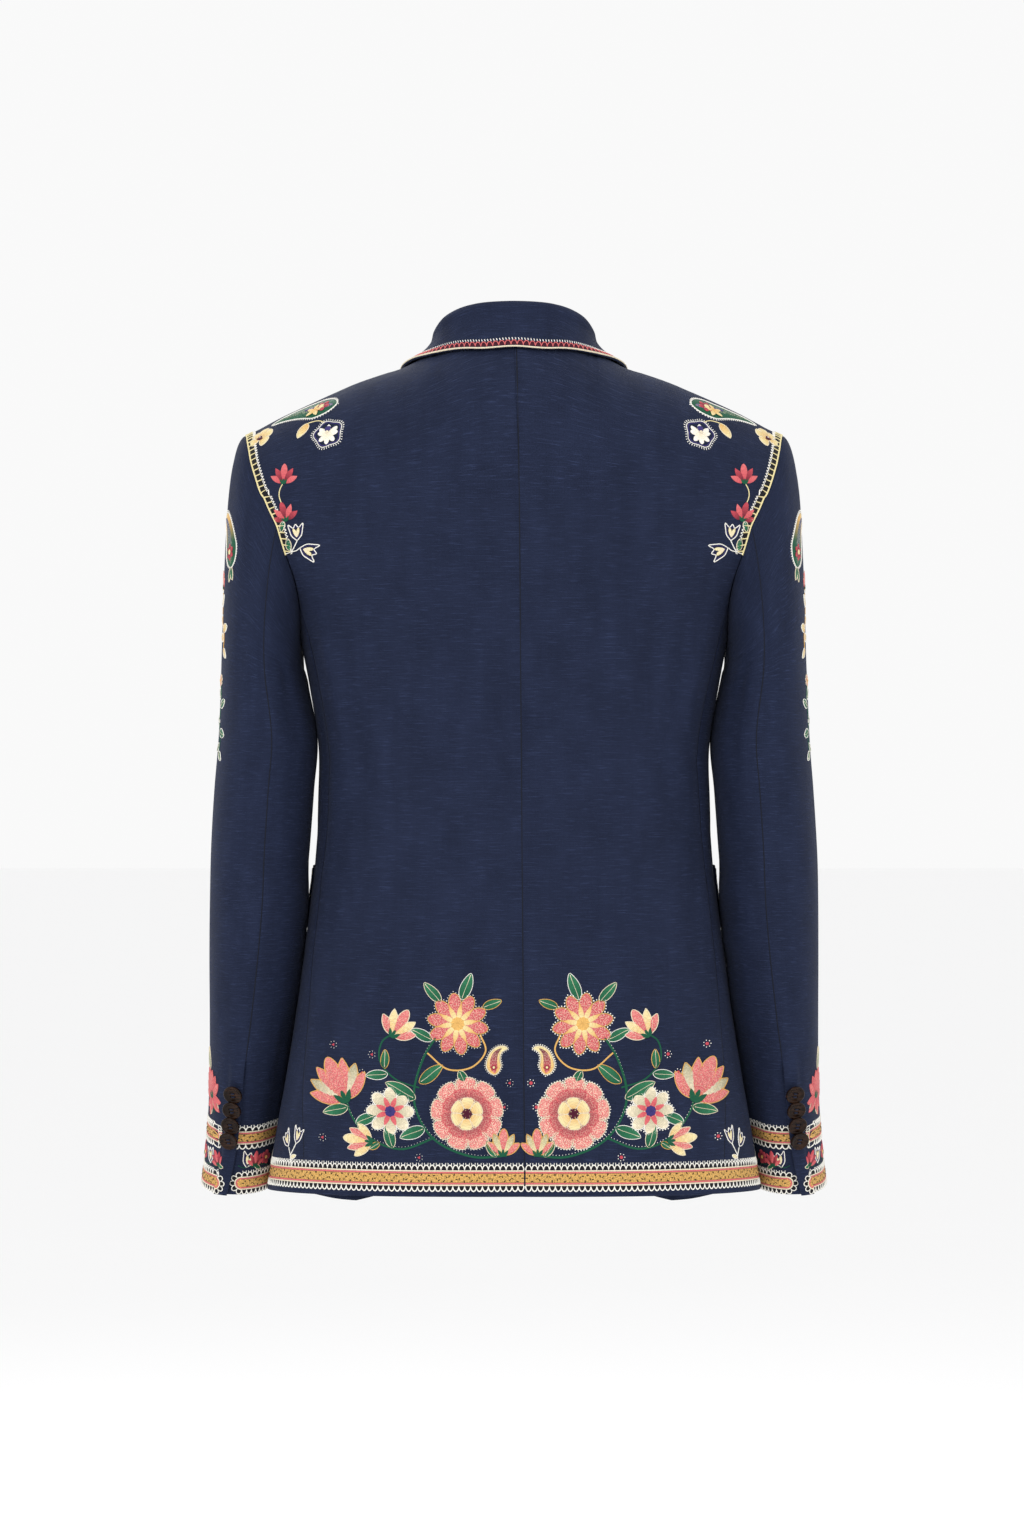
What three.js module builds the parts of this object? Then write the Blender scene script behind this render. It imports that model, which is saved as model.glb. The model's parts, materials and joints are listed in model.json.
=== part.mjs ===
// A woman's tailored suit jacket in navy linen, hollow and standing in the pose in which it is worn.
// Lengths are in millimetres. +X is the wearer's left, -Y is the front and +Z is up.
// The origin is the centre of the neck opening, at the height where the jacket hangs from the wearer.
import * as THREE from "three";

// Cloth and construction
const CLOTH = 2.0; // linen, canvas and turnings together
const SEAM_GAP = 0.3; // between two panels that a seam joins
const SHOULDER_GAP = 0.0016; // the same gap at the shoulder seam, as a share of the roll over the shoulder
const LAY_GAP = 0.5; // between a panel and what lies on it
const COLLAR_CLEAR = CLOTH + 1.9; // the collar's outer face over the back and the fronts
const COLLAR_INSET = CLOTH + 0.7; // the collar's seam lies this far inside the neckline
const SHINGLE_TILT = 14; // degrees, each cuff button leaning over the one above

// Driving sizes
const HEM_Z = -647; // height of the hem at the centre back
const ROLL_Z = -120; // above this the cloth rolls over to the shoulder seam
const DIP_TOP_Z = -450; // above this the rings are level, below it they follow the hem
const SHOULDER_SEAM_Y = 4;
const ROLL_POWER = 2.3; // squareness of the roll over the shoulder
const RING_POWER = 2.3; // squareness of the body's rings
const NECK_HALF_WIDTH = 60.5;
const NECK_BACK_DEPTH = 62; // from the shoulder seam back to the nape
const NECK_POWER = 2.5; // squareness of the back neckline
const SEAM_DRIFT = -8; // the centre back seam wanders this far at the hem
const BREAK_Z = -325; // where the lapels start to roll
const OVERLAP = 18; // each front passes the centre by this much
const OVERLAP_RISE = CLOTH + 0.6; // the right front lies over the left
const FLAP = { top: -402, bottom: -452, back: 97, front: 139, flare: 1.6 };
const FRONT_BUTTONS = [-338, -440];
const FRONT_BUTTON_R = 10;
const CUFF_BUTTON_R = 7.5;
const CUFF_BUTTON_TOP = -577;
const CUFF_BUTTON_STEP = -12.2;
const CUFF_BUTTON_COUNT = 4;

// Rings of the body from the hem up: height, half width, and how deep it is behind and in front
const BODY = columns(["z", "half", "back", "front"], [
  [-647, 190.5, 122, 128],
  [-600, 182.5, 121, 126],
  [-560, 175.0, 119, 123],
  [-516, 168.0, 116, 119],
  [-473, 162.5, 112, 115],
  [-430, 157.5, 107, 111],
  [-390, 154.0, 103, 108],
  [-350, 151.5, 100, 107],
  [-310, 150.5, 100, 110],
  [-262, 157.5, 103, 116],
  [-225, 165.0, 105, 117],
  [-205, 170.0, 106, 115],
  [-190, 179.0, 106, 113],
  [-163, 203.0, 106, 109],
  [-143, 215.0, 106, 105],
  [-120, 222.0, 105, 101],
]);
const SHOULDER_HALF = 226; // half width of the ring that runs through the shoulder seam

// The shoulder seam seen from behind: distance from the centre and height
const SHOULDER = columns(["x", "z"], [
  [-30, 16], [0, 23], [30, 16], [60, -1], [85, -15], [102, -20.4], [121, -27], [135, -33],
  [155, -41.8], [177, -51.8], [188, -57.6], [198, -63], [209, -68], [222, -79], [240, -97],
]);

// How far the hem hangs below the centre back, against the angle round the body
const HEM_DROP = columns(["angle", "drop"], [
  [-20, 0], [0, 0], [30, 0.7], [60, 3], [80, 5.5], [95, 8], [113, 12.5], [125, 19], [135, 25.5],
  [145, 28.5], [160, 28], [180, 26],
]);

// Soft shapes pressed into the body: centre, reach across and up, and height; minus is a hollow
const FORMS = columns(["side", "x", "z", "wide", "high", "rise"], [
  ["back", 78, -165, 46, 62, 5], // shoulder blade
  ["back", 0, -335, 52, 95, -5], // hollow of the back
  ["back", 142, -235, 16, 60, 4], // soft fold below the armhole
  ["back", 96, -610, 44, 80, 2.5],
  ["front", 84, -238, 50, 58, 15], // bust
  ["front", 0, -345, 60, 70, -4],
  ["front", 120, -150, 26, 40, -3],
]);

// Seams and edges as angles round the body from the centre back,
// against level 0 at the hem, 1 at ROLL_Z and 2 at the shoulder seam
const BACK_SIDE_SEAM = columns(["level", "angle"], [
  [0, 55], [0.062, 56], [0.16, 62], [0.264, 66.5], [0.34, 68.5], [0.5, 68], [0.7, 68], [0.845, 70],
]);
const FRONT_SIDE_SEAM = columns(["level", "angle"], [
  [0, 113], [0.3, 110], [0.55, 107.5], [0.83, 107],
]);
const FRONT_EDGE = columns(["level", "x"], [
  [0, 128], [0.012, 102], [0.03, 76], [0.055, 55], [0.09, 35.5], [0.14, 17], [0.2, 1.5], [0.27, -10],
  [0.35, -16.8], [0.43, -18], [0.62, -18],
]);
// The armhole against the angle round the sleeve, 0 at the shoulder and 180 under the arm
const ARMHOLE = columns(["turn", "level", "back", "front"], [
  [-22.5, 2.345, 64.5, 113.4],
  [0, 2.0, 63.6, 116.4],
  [22.5, 1.655, 62.7, 119.4],
  [45, 1.344, 60.8, 124.1],
  [67.5, 1.06, 57.2, 127.6],
  [90, 0.955, 53.5, 128.7],
  [112.5, 0.898, 58, 123.8],
  [135, 0.851, 68.9, 115.3],
  [157.5, 0.819, 79, 102.5],
  [180, 0.8075, 90, 90],
  [202.5, 0.819, 101, 77.5],
]);
const BACK_SIDE_TURN = 138; // where the side panel's seams meet the armhole
const FRONT_SIDE_TURN = 148;

// Sections of the sleeve below the cap: height, outer and inner edge seen from behind, middle and half depth
const SLEEVE = columns(["z", "outer", "inner", "mid", "deep"], [
  [-262, 228.5, 162, -3, 66],
  [-304, 230, 154.5, 2, 63],
  [-343, 232.8, 157, 6, 59],
  [-391, 235.5, 159.5, 8, 56],
  [-430, 236.6, 160.5, 5, 54.5],
  [-473, 237.2, 165, -1, 53],
  [-516, 237.8, 171.5, -10, 51.5],
  [-560, 238.8, 178, -21, 50.5],
  [-600, 240.8, 183, -32, 49.5],
  [-630, 243.8, 186, -40, 49],
  [-652, 247, 188, -45, 49],
]);
const SLEEVE_POWER = 2.15;
const CUFF_TILT = 0.13; // the cuff is cut square to the bent forearm
const TILT_FROM_Z = -400;
const SLEEVE_GAP = 1.3; // between the armhole's edge and the sleeve head
const BACK_SLEEVE_SEAM = columns(["z", "turn"], [
  [-120, 87], [-262, 100], [-343, 101], [-430, 99], [-516, 94], [-551, 90], [-600, 88], [-635, 83],
  [-652, 79],
]);
const FRONT_SLEEVE_TURN = 222;
const VENT = { top: -546, underlap: 15, rise: CLOTH + 0.6, reach: 24, lift: 1.2 };

// The collar from the centre back (0) over the shoulder seam (0.5) to its front end (1):
// height of the fold, outer edge on the body, and how far the fall is drawn in between the two
const COLLAR = columns(["s", "stand", "ex", "ey", "bow"], [
  [-0.15, 28, -28, 72, 1],
  [0, 27.5, 0, 75, 1],
  [0.15, 28, 28, 72, 1],
  [0.3, 23, 55, 57, 2.5],
  [0.4, 16.5, 72, 40, 4],
  [0.5, 13.5, 85, 10, 5],
  [0.62, 11.5, 90, -22, 4.5],
  [0.75, 9.3, 94, -48, 3],
  [0.88, 7.2, 97, -68, 1.5],
  [1, 5.5, 98.5, -80, 0],
]);
const COLLAR_END_LEVEL = 1.37; // where the collar ends on the front

const LINEN = cloth("#2a3150");
const SIDE_LINEN = cloth("#252c49");
const HORN = new THREE.MeshStandardMaterial({ color: "#33241a", roughness: 0.35, metalness: 0 });

function cloth(color) {
  return new THREE.MeshStandardMaterial({ color, roughness: 0.9, metalness: 0 });
}

// A table as a list of records with named columns
function columns(names, rows) {
  return rows.map((row) => Object.fromEntries(names.map((name, i) => [name, row[i]])));
}

// Smooth value of one column at a key, by cubic pieces, carried on straight past both ends
function at(table, key, name, value) {
  const last = table.length - 1;
  const rising = table[last][key] > table[0][key];
  const inside = (i) => (rising ? table[i][key] <= value : table[i][key] >= value);
  let i = 0;
  while (i < last - 1 && inside(i + 1)) i += 1;
  const slope = (k) => {
    const a = table[Math.max(k - 1, 0)];
    const b = table[Math.min(k + 1, last)];
    return (b[name] - a[name]) / (b[key] - a[key]);
  };
  const [a, b] = [table[i], table[i + 1]];
  const step = b[key] - a[key];
  const t = (value - a[key]) / step;
  if (t < 0) return a[name] + slope(i) * step * t;
  if (t > 1) return b[name] + slope(i + 1) * step * (t - 1);
  const [t2, t3] = [t * t, t * t * t];
  return (
    a[name] * (2 * t3 - 3 * t2 + 1) + b[name] * (3 * t2 - 2 * t3) +
    step * (slope(i) * (t3 - 2 * t2 + t) + slope(i + 1) * (t3 - t2))
  );
}

const radians = THREE.MathUtils.degToRad;
const mix = THREE.MathUtils.lerp;
const ease = (x, from, to) => THREE.MathUtils.smoothstep((x - from) / (to - from), 0, 1);

// A unit superellipse at an angle from its second axis
function rounded(angle, power) {
  const [s, c] = [Math.sin(angle), Math.cos(angle)];
  const reach = (Math.abs(s) ** power + Math.abs(c) ** power) ** (-1 / power);
  return [s * reach, c * reach];
}

// The angle at which such a curve is that far out sideways
function roundedAngle(out, power) {
  const side = Math.min(Math.abs(out), 0.99999);
  return Math.sign(out) * Math.atan2(side, (1 - side ** power) ** (1 / power));
}

// The bumps and hollows at a place on the back or the front
function form(side, x, z) {
  const there = FORMS.filter((f) => f.side === side);
  const one = (f, centre) => f.rise * Math.exp(-(((x - centre) / f.wide) ** 2) - ((z - f.z) / f.high) ** 2);
  return there.reduce((sum, f) => sum + one(f, f.x) + (f.x ? one(f, -f.x) : 0), 0);
}

// The body's outer surface at an angle in degrees from the centre back and a level,
// for the wearer's left half
function body(angle, level) {
  const turn = radians(angle);
  const low = Math.min(level, 1);
  const flatZ = mix(HEM_Z, ROLL_Z, low);
  const over = Math.max(level - 1, 0);
  const half = at(BODY, "z", "half", flatZ) + over * (SHOULDER_HALF - BODY.at(-1).half);
  const back = Math.abs(angle) < 90;
  const depth = at(BODY, "z", back ? "back" : "front", flatZ);
  const [across, along] = rounded(turn, RING_POWER);
  const x = half * across;
  const dip = at(HEM_DROP, "angle", "drop", angle) * Math.max((DIP_TOP_Z - flatZ) / (DIP_TOP_Z - HEM_Z), 0);
  const side = ease(Math.abs(along), 0, 0.5) * Math.sign(along);
  const y = depth * along + form(back ? "back" : "front", x, flatZ) * side;
  if (level <= 1) return new THREE.Vector3(x, y, flatZ - dip);
  const [up, out] = rounded(over * Math.PI / 2, ROLL_POWER);
  const ridge = at(SHOULDER, "x", "z", Math.abs(x));
  return new THREE.Vector3(x, mix(SHOULDER_SEAM_Y, y, out), mix(ROLL_Z, ridge, up));
}

// Outward normal of a surface function at a place, from two small steps
function normalOf(surface, u, v, du, dv) {
  const alongU = surface(u + du, v).sub(surface(u - du, v));
  const alongV = surface(u, v + dv).sub(surface(u, v - dv));
  return alongU.cross(alongV).normalize();
}

const FIRST_LEVEL = 0.7; // up to here a panel's rows run level
const bodyNormal = (angle, level) => normalOf(body, angle, level, -0.2, 0.002);

// Level and angle of the armhole at a turn round the sleeve; turns past 180 are the front
function armhole(turn) {
  const front = turn > 180;
  const bent = front ? 360 - turn : turn;
  return {
    level: at(ARMHOLE, "turn", "level", bent),
    angle: at(ARMHOLE, "turn", front ? "front" : "back", bent),
  };
}

// The angle at which the body is that far sideways at a level, on the back or the front
function angleAt(x, level, front) {
  const flatZ = mix(HEM_Z, ROLL_Z, Math.min(level, 1));
  const half = at(BODY, "z", "half", flatZ) + Math.max(level - 1, 0) * (SHOULDER_HALF - BODY.at(-1).half);
  const angle = THREE.MathUtils.radToDeg(roundedAngle(x / half, RING_POWER));
  return front ? 180 - angle : angle;
}

// A closed wall from rows of outer points, each { p, n } with its normal, and the cloth's thickness
function wall(rows, thick = CLOTH) {
  const [down, across] = [rows.length, rows[0].length];
  const position = [];
  for (const layer of [0, thick])
    for (const row of rows)
      for (const { p, n } of row) position.push(...p.clone().addScaledVector(n, -layer).toArray());
  const outer = (i, j) => i * across + j;
  const inner = (i, j) => down * across + outer(i, j);
  const index = [];
  const quad = (a, b, c, d) => index.push(a, b, c, a, c, d);
  for (let i = 0; i < down - 1; i += 1)
    for (let j = 0; j < across - 1; j += 1) {
      quad(outer(i, j), outer(i, j + 1), outer(i + 1, j + 1), outer(i + 1, j));
      quad(inner(i, j), inner(i + 1, j), inner(i + 1, j + 1), inner(i, j + 1));
    }
  for (let i = 0; i < down - 1; i += 1) {
    quad(outer(i, 0), outer(i + 1, 0), inner(i + 1, 0), inner(i, 0));
    quad(outer(i, across - 1), inner(i, across - 1), inner(i + 1, across - 1), outer(i + 1, across - 1));
  }
  for (let j = 0; j < across - 1; j += 1) {
    quad(outer(0, j), inner(0, j), inner(0, j + 1), outer(0, j + 1));
    quad(outer(down - 1, j), outer(down - 1, j + 1), inner(down - 1, j + 1), inner(down - 1, j));
  }
  return facingOut(position, index);
}

// A geometry whose faces point out of the solid
function facingOut(position, index) {
  const corner = (k) => new THREE.Vector3().fromArray(position, 3 * index[k]);
  let volume = 0;
  for (let k = 0; k < index.length; k += 3) volume += corner(k).dot(corner(k + 1).cross(corner(k + 2)));
  if (volume < 0) index.reverse();
  const geometry = new THREE.BufferGeometry();
  geometry.setAttribute("position", new THREE.Float32BufferAttribute(position, 3));
  geometry.setIndex(index);
  geometry.computeVertexNormals();
  return geometry;
}

const jacket = new THREE.Group();
const spread = (count) => Array.from({ length: count }, (_, i) => i / (count - 1));
const SIDES = [["left", 1], ["right", -1]];

function sew(name, geometry, material) {
  const mesh = new THREE.Mesh(geometry, material);
  mesh.name = name;
  jacket.add(mesh);
  return mesh;
}

// One point of the left or right half, from a place and normal worked out for the left
function onSide(side, p, n) {
  return { p: p.setX(p.x * side), n: n.setX(n.x * side) };
}

// Half a seam's gap in degrees round the body or the sleeve
function halfGap(surface, angle, height) {
  const pace = surface(angle + 0.2, height).distanceTo(surface(angle - 0.2, height)) / 0.4;
  return SEAM_GAP / 2 / pace;
}

const LOW_LEVELS = [
  0, 0.012, 0.03, 0.055, 0.09, 0.14, 0.2, 0.27, 0.35, 0.43, 0.51, 0.58, 0.64, 0.7, 0.77, 0.81,
];
// The rows of a panel that ends at the armhole's side seams close up under a lower end
function rowLevel(level, top) {
  const share = (level - FIRST_LEVEL) / (armhole(BACK_SIDE_TURN).level - FIRST_LEVEL);
  return share <= 0 ? level : mix(FIRST_LEVEL, top, share);
}

// How high the back neckline cuts the column at an angle
function neckLevel(angle) {
  const reach = Math.abs(body(angle, 1.9).x) / NECK_HALF_WIDTH;
  if (reach >= 1) return 2;
  const line = SHOULDER_SEAM_Y + NECK_BACK_DEPTH * (1 - reach ** NECK_POWER) ** (1 / NECK_POWER);
  const out = (line - SHOULDER_SEAM_Y) / (body(angle, 1).y - SHOULDER_SEAM_Y);
  return 1 + Math.atan2((1 - out ** ROLL_POWER) ** (1 / ROLL_POWER), out) / (Math.PI / 2);
}

// Half of the back, from the centre seam to the side panel and the armhole,
// up to the neckline and shoulder seam
function makeBack(name, side) {
  const seamX = (level) => side * SEAM_DRIFT * (1 - level / 2);
  const seamAngle = (level) => angleAt(seamX(level), level, false);
  const inner = (level) => seamAngle(level) + halfGap(body, seamAngle(level), level);
  const turns = [138, 126, 114, 102, 90, 76, 62, 48, 34, 20, 9, 0];
  const rings = [
    ...LOW_LEVELS.map((level) => ({ level, angle: at(BACK_SIDE_SEAM, "level", "angle", level) })),
    ...turns.map(armhole),
  ];
  const count = 11;
  const rows = rings.map(({ level, angle }) =>
    spread(count).map((u) => {
      const outer = angle - halfGap(body, angle, level);
      const rise = ease(level, 0.95, 2);
      const here = mix(inner(level), outer, u);
      const top = neckLevel(mix(inner(2), outer, u));
      const seam = level > 2 - SHOULDER_GAP ? SHOULDER_GAP : 0;
      const cut = level - rise * (2 - top) - seam;
      const n = bodyNormal(here, cut);
      return onSide(side, body(here, cut), n);
    }),
  );
  sew(name, wall(rows), LINEN);
}

// The panel under the arm
function makeSide(name, side) {
  const count = 7;
  const top = (u) => {
    const turn = mix(BACK_SIDE_TURN, 360 - FRONT_SIDE_TURN, u);
    return armhole(turn);
  };
  const rows = [...LOW_LEVELS, armhole(BACK_SIDE_TURN).level].map((level) =>
    spread(count).map((u) => {
      const here = rowLevel(level, top(u).level);
      const seams = [BACK_SIDE_SEAM, FRONT_SIDE_SEAM].map((seam) => at(seam, "level", "angle", here));
      const from = seams[0] + halfGap(body, seams[0], here);
      const to = seams[1] - halfGap(body, seams[1], here);
      const edge = Math.min(Math.max(top(u).angle, from), to);
      const angle = mix(mix(from, to, u), edge, ease(level, FIRST_LEVEL, 0.84));
      return onSide(side, body(angle, here), bodyNormal(angle, here));
    }),
  );
  sew(name, wall(rows), SIDE_LINEN);
}

// The line on which the lapels and the front of the collar fold back, as a distance from the centre
const NECK_Z = at(SHOULDER, "x", "z", NECK_HALF_WIDTH);
const rollX = (z) => mix(-OVERLAP, NECK_HALF_WIDTH, (z - BREAK_Z) / (NECK_Z - BREAK_Z));

// How far from the centre a front's edge runs at a level
function frontEdge(level) {
  const z = mix(HEM_Z, ROLL_Z, level);
  if (z < BREAK_Z) return at(FRONT_EDGE, "level", "x", level);
  if (level <= 1) return rollX(z);
  let x = rollX(ROLL_Z);
  for (let k = 0; k < 8; k += 1) x = rollX(body(angleAt(x, level, true), level).z);
  return x;
}

// How far the overlapping right front stands out over the left one
const overlapRise = (side, x) => (side < 0 ? OVERLAP_RISE * (1 - ease(x, 22, 48)) : 0);

// One front, from its side seam and armhole to its edge and the line on which the lapel rolls
function makeFront(name, side) {
  const low = LOW_LEVELS.map((level) => rowLevel(level, armhole(360 - FRONT_SIDE_TURN).level));
  const turns = [148, 138, 126, 112, 98, 84, 70, 56, 42, 28, 13, 0];
  const rings = [
    ...low.map((level) => ({ level, angle: at(FRONT_SIDE_SEAM, "level", "angle", level) })),
    ...turns.map((turn) => armhole(360 - turn)),
  ];
  const rows = rings.map(({ level, angle }) => {
    const here = Math.min(level, 2 - SHOULDER_GAP);
    const edge = angleAt(frontEdge(here), here, true);
    return spread(12).map((u) => {
      const turn = mix(angle + halfGap(body, angle, here), edge, u);
      const n = bodyNormal(turn, here);
      const p = body(turn, here);
      return onSide(side, p.addScaledVector(n, overlapRise(side, p.x)), n);
    });
  });
  sew(name, wall(rows), LINEN);
}

// The front as a height over a place seen from ahead, for what lies on it
function frontAt(side, x, z) {
  const low = Math.min(z, ROLL_Z);
  const half = at(BODY, "z", "half", low);
  const deep = at(BODY, "z", "front", low);
  const share = Math.min(Math.abs(x) / half, 0.999);
  let y = -deep * (1 - share ** RING_POWER) ** (1 / RING_POWER) - form("front", x, low);
  if (z > ROLL_Z) {
    const up = Math.min((z - ROLL_Z) / (at(SHOULDER, "x", "z", Math.abs(x)) - ROLL_Z), 0.9999);
    y = mix(SHOULDER_SEAM_Y, y, (1 - up ** ROLL_POWER) ** (1 / ROLL_POWER));
  }
  return new THREE.Vector3(x, y - overlapRise(side, x), z);
}

// Outer profile of a lapel: distance out from the roll line and height over the front
const LAPEL_ROLL = [[-2.7, -2.0], [-3.4, 0.4], [-2, 3.1], [1.2, 4.6], [6, 4.3]];
const LAPEL = { top: -53, width: 74, slope: 0.4, over: CLOTH + LAY_GAP };

// A lapel folded back on its front, from the break up to the line where it meets the collar.
// The left one passes under the right front, and is made from the line where it comes out.
function makeLapel(name, side) {
  const foot = side > 0 ? -281 : BREAK_Z + 2;
  const rows = spread(15).map((t) => {
    const z = mix(foot, LAPEL.top, t);
    const v = (z - BREAK_Z) / (LAPEL.top - BREAK_Z);
    const hidden = side > 0 ? -2 * rollX(z) + 8.2 : -10;
    const width = LAPEL.width * (1 - (1 - v) ** 1.5) * (1 - 0.06 * v) + 7;
    const slope = LAPEL.slope * ease(v, 0.45, 1) * v;
    const across = [
      ...LAPEL_ROLL,
      ...spread(6).slice(1).map((u) => [
        mix(6, width, u),
        mix(4.3, LAPEL.over + 0.4, Math.min(u * 2.4, 1) ** 0.8),
      ]),
    ];
    return across.map(([out, high], k) => ({
      out: Math.max(out, hidden > 0 ? hidden - 3.6 + 0.5 * k : out),
      high: mix(high, LAPEL.over + 0.4, THREE.MathUtils.clamp(hidden + 8, 0, 1)),
      z,
      slope,
    }));
  });
  const place = ({ out, high, z, slope }) => {
    const here = z - Math.max(out, 0) * slope;
    const x = rollX(z) + out;
    const flat = (dx, dz) => frontAt(side, x + dx, here + dz);
    const n = normalOf(flat, 0, 0, 0.5, 0.5);
    return frontAt(side, x, here).addScaledVector(n, high);
  };
  const points = rows.map((row) => row.map(place));
  sew(name, wall(withNormals(points, side)), LINEN);
}

// Points of the left half with normals from their neighbours in the grid
function withNormals(points, side) {
  const step = (list, k) => [list[Math.max(k - 1, 0)], list[Math.min(k + 1, list.length - 1)]];
  return points.map((row, i) =>
    row.map((p, j) => {
      const [left, right] = step(row, j);
      const [below, above] = step(points, i).map((r) => r[j]);
      const n = right.clone().sub(left).cross(above.clone().sub(below)).normalize();
      return { p, n };
    }),
  ).map((row) => row.map(({ p, n }) => onSide(side, p.clone(), n)));
}

// The rounding of the shoulders over a place: its core, and how deep and high the surface is from there
function shoulderRound(p) {
  const core = new THREE.Vector3(p.x, SHOULDER_SEAM_Y, ROLL_Z);
  const deep = body(angleAt(p.x, 1, p.y < SHOULDER_SEAM_Y), 1).y - core.y;
  return { core, deep, high: at(SHOULDER, "x", "z", Math.abs(p.x)) - core.z };
}

// A place lifted or lowered to the surface of the shoulders, or to a distance above it
function onShoulder(x, y, over) {
  const p = new THREE.Vector3(x, y, 0);
  const { core, deep, high } = shoulderRound(p);
  const share = Math.abs((y - core.y) / deep);
  return p.setZ(core.z + high * (1 - share ** ROLL_POWER) ** (1 / ROLL_POWER) + over);
}

// A place pushed straight away from the core of the shoulders until it clears their surface by a margin
function clearOfShoulder(p, margin) {
  const { core, deep, high } = shoulderRound(p);
  const [out, up] = [Math.abs((p.y - core.y) / deep), Math.abs((p.z - core.z) / high)];
  const share = (out ** ROLL_POWER + up ** ROLL_POWER) ** (1 / ROLL_POWER);
  const reach = p.distanceTo(core) / share;
  return p.sub(core).multiplyScalar(Math.max((1 + margin / reach) / share, 1)).add(core);
}

// The collar's neck seam, lying along the inner side of the neckline's edge
function neckSeam(s) {
  const near = Math.abs(s);
  let p;
  if (near < 0.5) {
    const [across, along] = rounded(near * Math.PI, NECK_POWER);
    const half = NECK_HALF_WIDTH - COLLAR_INSET;
    p = onShoulder(half * across, SHOULDER_SEAM_Y + (NECK_BACK_DEPTH - COLLAR_INSET) * along, -CLOTH);
  } else {
    const level = mix(2, COLLAR_END_LEVEL, 2 * near - 1);
    const angle = angleAt(frontEdge(level) - COLLAR_INSET, level, true);
    p = body(angle, level).addScaledVector(bodyNormal(angle, Math.min(level, 1.99)), -CLOTH);
  }
  return p;
}

// One place across the collar: up the stand, over the fold and down to the outer edge
function collarProfile(s) {
  const get = (name) => at(COLLAR, "s", name, s);
  const seam = neckSeam(s);
  const edge = clearOfShoulder(onShoulder(get("ex"), get("ey"), 0), COLLAR_CLEAR);
  const path = neckSeam(s + 0.01).sub(neckSeam(Math.max(s - 0.01, 0))).normalize();
  const front = new THREE.Vector3(0.15, -0.95, 0.3);
  const up = new THREE.Vector3(0, 0, 1).lerp(front, ease(s, 0.6, 1));
  const out = up.clone().cross(path).normalize();
  up.copy(path).cross(out);
  const [stand, bow] = [get("stand"), get("bow")];
  const place = (sideways, high) => seam.clone().addScaledVector(out, sideways).addScaledVector(up, high);
  const turn = place(5.2, CLOTH + stand - 3.6);
  const fall = (t) => {
    const p = turn.clone().lerp(edge, t).addScaledVector(out, -4 * bow * t * (1 - t));
    return clearOfShoulder(p, COLLAR_CLEAR);
  };
  return [
    place(0, 0), place(-0.8, CLOTH + stand * 0.45), place(-1.5, CLOTH + stand - 3.4),
    place(1.4, CLOTH + stand), turn, fall(0.25), fall(0.5), fall(0.75), edge,
  ];
}

function makeCollar() {
  const points = spread(29).map((t) => {
    const s = mix(1, -1, t);
    const curve = new THREE.CatmullRomCurve3(collarProfile(Math.abs(s)), false, "centripetal");
    return spread(11).map((r) => {
      const p = curve.getPoint(r);
      return p.setX(s < 0 ? -p.x : p.x);
    });
  });
  sew("collar", wall(withNormals(points, 1)), LINEN);
}

// A section of the sleeve at a height, widest across and deepest front to back
function sleeveRing(turn, z) {
  const [deep, wide] = rounded(radians(turn), SLEEVE_POWER);
  const [outer, inner] = ["outer", "inner"].map((name) => at(SLEEVE, "z", name, z));
  const half = at(SLEEVE, "z", "deep", z);
  const tilt = CUFF_TILT * ease(-z, -TILT_FROM_Z, 600);
  return new THREE.Vector3(
    (outer + inner) / 2 + (wide * (outer - inner)) / 2,
    at(SLEEVE, "z", "mid", z) + deep * half,
    z - tilt * deep * half,
  );
}

const CAP_Z = SLEEVE[0].z;
// The sleeve's outer surface: v from 0 at the armhole to 1 at the foot of the cap and 2 at the cuff
function sleeve(turn, v) {
  const round = ((turn % 360) + 360) % 360;
  if (v >= 1) return sleeveRing(round, mix(CAP_Z, SLEEVE.at(-1).z, v - 1));
  const { level, angle } = armhole(round);
  const c = Math.cos(radians(round));
  const s = Math.sin(radians(round));
  const start = body(angle, level);
  const away = new THREE.Vector3(0.75 + 0.25 * c, -0.25 * s, -0.25 * c).normalize();
  start.addScaledVector(away, SLEEVE_GAP + 0.7 * Math.max(c, 0) ** 4);
  const end = sleeveRing(round, CAP_Z);
  const first = new THREE.Vector3(8 + 9 * c, 5 * s, -12 - 3 * s * s + 3 * c);
  const rise = start.z - end.z;
  const last = sleeveRing(round, CAP_Z - 2).sub(end).multiplyScalar(-0.36 * rise / 2);
  return new THREE.CubicBezierCurve3(start, start.clone().add(first), end.clone().add(last), end).getPoint(v);
}

const sleeveNormal = (turn, v) => normalOf(sleeve, turn, v, 0.4, v > 0.9 && v < 1.1 ? 0.03 : 0.004).negate();
const sleeveZ = (v) => (v < 1 ? mix(-140, CAP_Z, v) : mix(CAP_Z, SLEEVE.at(-1).z, v - 1));
const seamTurn = (v) => at(BACK_SLEEVE_SEAM, "z", "turn", sleeveZ(v));
const SLEEVE_ROWS = [
  0, 0.07, 0.16, 0.28, 0.42, 0.58, 0.76, 1, 1.1, 1.2, 1.3, 1.4, 1.5, 1.6, 1.68, 1.725, 1.75, 1.775,
  1.82, 1.87, 1.93, 2,
];
// How far the top sleeve stands out where it laps the vent
function ventRise(turn, v) {
  const along = ease(-sleeveZ(v), -VENT.top - 6, -VENT.top + 8);
  const opening = VENT.lift * ease(-sleeveZ(v), 610, 655);
  const edge = seamTurn(v);
  return (VENT.rise + opening) * along * ease(turn, edge - VENT.reach, edge - VENT.underlap - 2);
}

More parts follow.
